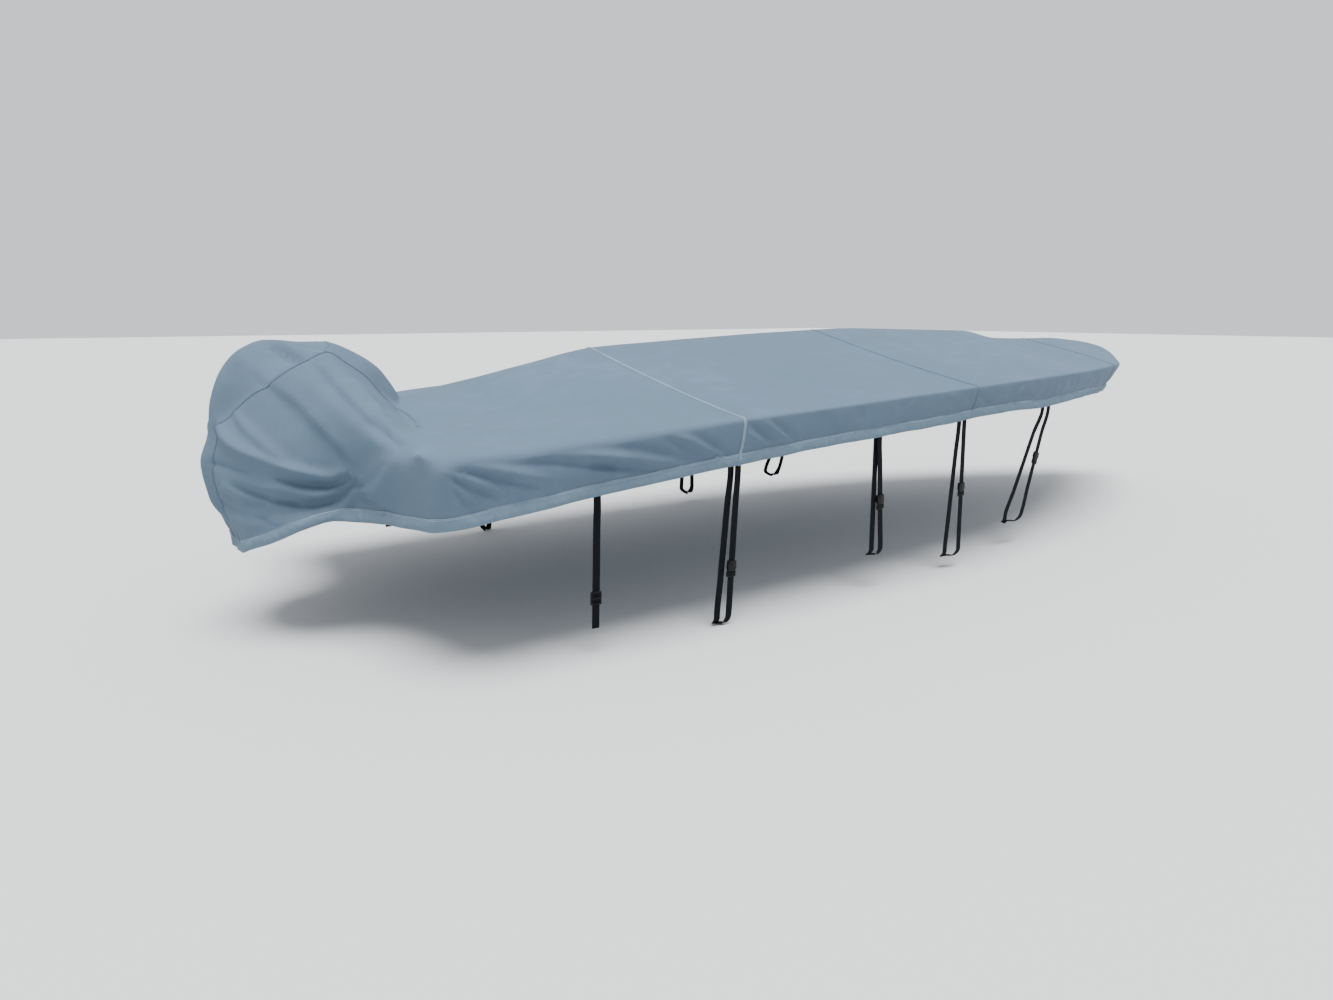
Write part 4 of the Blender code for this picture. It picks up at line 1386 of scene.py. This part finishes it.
class AddPanels(bpy.types.Operator):
    """Adds the four panels of the body and the four pieces of the hood"""

    bl_idname = "boat_cover.panels"
    bl_label = "Cloth panels"

    def execute(self, context):
        sizes = settings_of(context)
        body = cloth_of("body cloth", sizes, sizes.cloth_colour)
        hood = cloth_of("hood cloth", sizes, sizes.hood_colour)
        for name in PANELS:
            on_body = name.startswith("panel")
            slot = "cloth_body" if on_body else "cloth_hood"
            piece = panel_piece(name, body if on_body else hood, slot)
            hang(piece, name)
            (length, width), area = cut_size(name)
            width *= 2 if on_body else 1
            width = max(width, area / length)
        return {"FINISHED"}


class AddHem(bpy.types.Operator):
    """Adds the folded hem along the cover's lower edge, with its two rows of stitches"""

    bl_idname = "boat_cover.hem"
    bl_label = "Hem"

    def execute(self, context):
        sizes = settings_of(context)
        skin = cover_skin()
        line = hem_line(skin)
        run = np.arange(len(line)) * HEM_STEP
        heights = np.array([lay.across for lay in HEM_BAND])
        outside = np.array([lay.rise > 0 for lay in HEM_BAND])
        middle = np.sin(np.pi * np.clip(heights / GATHER_TOP, 0, 1)) * outside
        gathers = crinkled(GATHERS, run[:, None], heights)
        rings = laid_rings(skin, line, HEM_BAND, HEM_GATHER * middle * np.abs(gathers))
        # The hem's cloth is painted lighter than the body's, a painted highlight on its tilted
        # band.
        cloth = cloth_of("hem cloth", sizes, sizes.hem_lit_colour)
        mesh = ring_mesh("folded_hem", rings, closed=True)
        hang(new_piece("folded_hem", mesh, cloth, "cloth_body"))
        rows = laid_rings(skin, line, STITCH_ROWS)
        thread = finish_of("thread", thread_finish, sizes.thread_colour)
        lines = [(rows[:, i], True) for i in range(len(STITCH_ROWS))]
        tree = stitch_tree(thread)
        hang(stitch_piece("hem_stitches", lines, tree, sizes, "cloth_body"))
        return {"FINISHED"}


class AddSeams(bpy.types.Operator):
    """Adds the laps and stitches of the seams across the body and round the hood"""

    bl_idname = "boat_cover.seams"
    bl_label = "Seams"

    def execute(self, context):
        sizes = settings_of(context)
        skin = cover_skin()
        body = cloth_of("body cloth", sizes, sizes.cloth_colour)
        # The aft seam's lap is painted paler than the body cloth, a painted highlight on the raised
        # band.
        pale = cloth_of("seam cloth", sizes, sizes.seam_lit_colour)
        thread = finish_of("thread", thread_finish, sizes.thread_colour)
        dull = finish_of("dull thread", thread_finish, sizes.dull_colour)
        seams = {
            "aft_seam": cross_seam(skin, 0),
            "middle_seam": cross_seam(skin, 1),
            "nose_seam": cross_seam(skin, 2),
            "hood_seam_starboard": hood_seam(skin.grids["hood_side_starboard"][0]),
            "hood_seam_port": hood_seam(skin.grids["hood_side_port"][0]),
            "hood_short_seam": list(skin.grids["hood_top"][0][0]),
        }
        rows = {"aft_seam": [], "other_seams": []}
        for name, numbers in seams.items():
            raised = name == "aft_seam"
            line = seam_line(skin, numbers)
            mesh = ring_mesh(name, laid_rings(skin, line, RAISED_SEAM if raised else LAPPED_SEAM))
            hang(new_piece(name, mesh, pale if raised else body, "cloth_body"))
            sewn = laid_rings(skin, line, RAISED_ROWS if raised else LAPPED_ROWS)
            kind = "aft_seam" if raised else "other_seams"
            rows[kind] += [(sewn[:, 0], False), (sewn[:, 1], False)]
        for kind, finish in (("aft_seam", thread), ("other_seams", dull)):
            tree = stitch_tree(finish)
            hang(stitch_piece(f"stitches_{kind}", rows[kind], tree, sizes, "cloth_body"))
        return {"FINISHED"}


FLOOR_REACH = 40.0
FLOOR_ROOM = 0.004
LIGHT_WAY = (0.12, 0.18, -1)


class AddStage(bpy.types.Operator):
    """Adds a pale floor and soft studio lights"""

    bl_idname = "boat_cover.stage"
    bl_label = "Stage"

    def execute(self, context):
        floor = bpy.data.meshes.new("floor")
        height = float(CAD_BOX[0][2]) - FLOOR_ROOM
        ways = ((-1, -1), (1, -1), (1, 1), (-1, 1))
        corners = [(x * FLOOR_REACH, y * FLOOR_REACH, height) for x, y in ways]
        floor.from_pydata(corners, [], [(0, 1, 2, 3)])
        finish = Finish("pale floor", Base_Color=(0.58, 0.585, 0.59, 1), Roughness=0.9)
        floor.materials.append(finish.material)
        placed("floor", floor)
        world = bpy.data.worlds.new("Studio")
        world.use_nodes = True
        sky = world.node_tree.nodes["Background"]
        sky.inputs["Color"].default_value = (0.93, 0.96, 1.0, 1)
        sky.inputs["Strength"].default_value = 1.0
        context.scene.world = world
        light = bpy.data.lights.new("key", "SUN")
        light.energy = 6.4
        light.angle = math.radians(40)
        lamp = placed("key", light)
        lamp.rotation_euler = Vector(LIGHT_WAY).to_track_quat("-Z", "Y").to_euler()
        return {"FINISHED"}


STEPS = (AddCamera, AddTieDowns, AddPanels, AddHem, AddSeams, AddStage)


class CoverPanel(bpy.types.Panel):
    """Lists the cover's sizes and pieces"""

    bl_idname = "VIEW3D_PT_boat_cover"
    bl_label = "Boat cover"
    bl_space_type = "VIEW_3D"
    bl_region_type = "UI"
    bl_category = "Boat cover"

    def draw(self, context):
        sizes = settings_of(context)
        for name in sizes.__annotations__:
            self.layout.prop(sizes, name)
        for step in STEPS:
            self.layout.operator(step.bl_idname)


CLASSES = (CoverSizes,) + STEPS + (CoverPanel,)


def register():
    for cls in CLASSES:
        bpy.utils.register_class(cls)
    bpy.types.Scene.boat_cover = bpy.props.PointerProperty(type=CoverSizes)


def unregister():
    del bpy.types.Scene.boat_cover
    for cls in reversed(CLASSES):
        bpy.utils.unregister_class(cls)


def main():
    register()
    for step in STEPS:
        group, name = step.bl_idname.split(".")
        getattr(getattr(bpy.ops, group), name)()


if __name__ == "__main__":
    main()
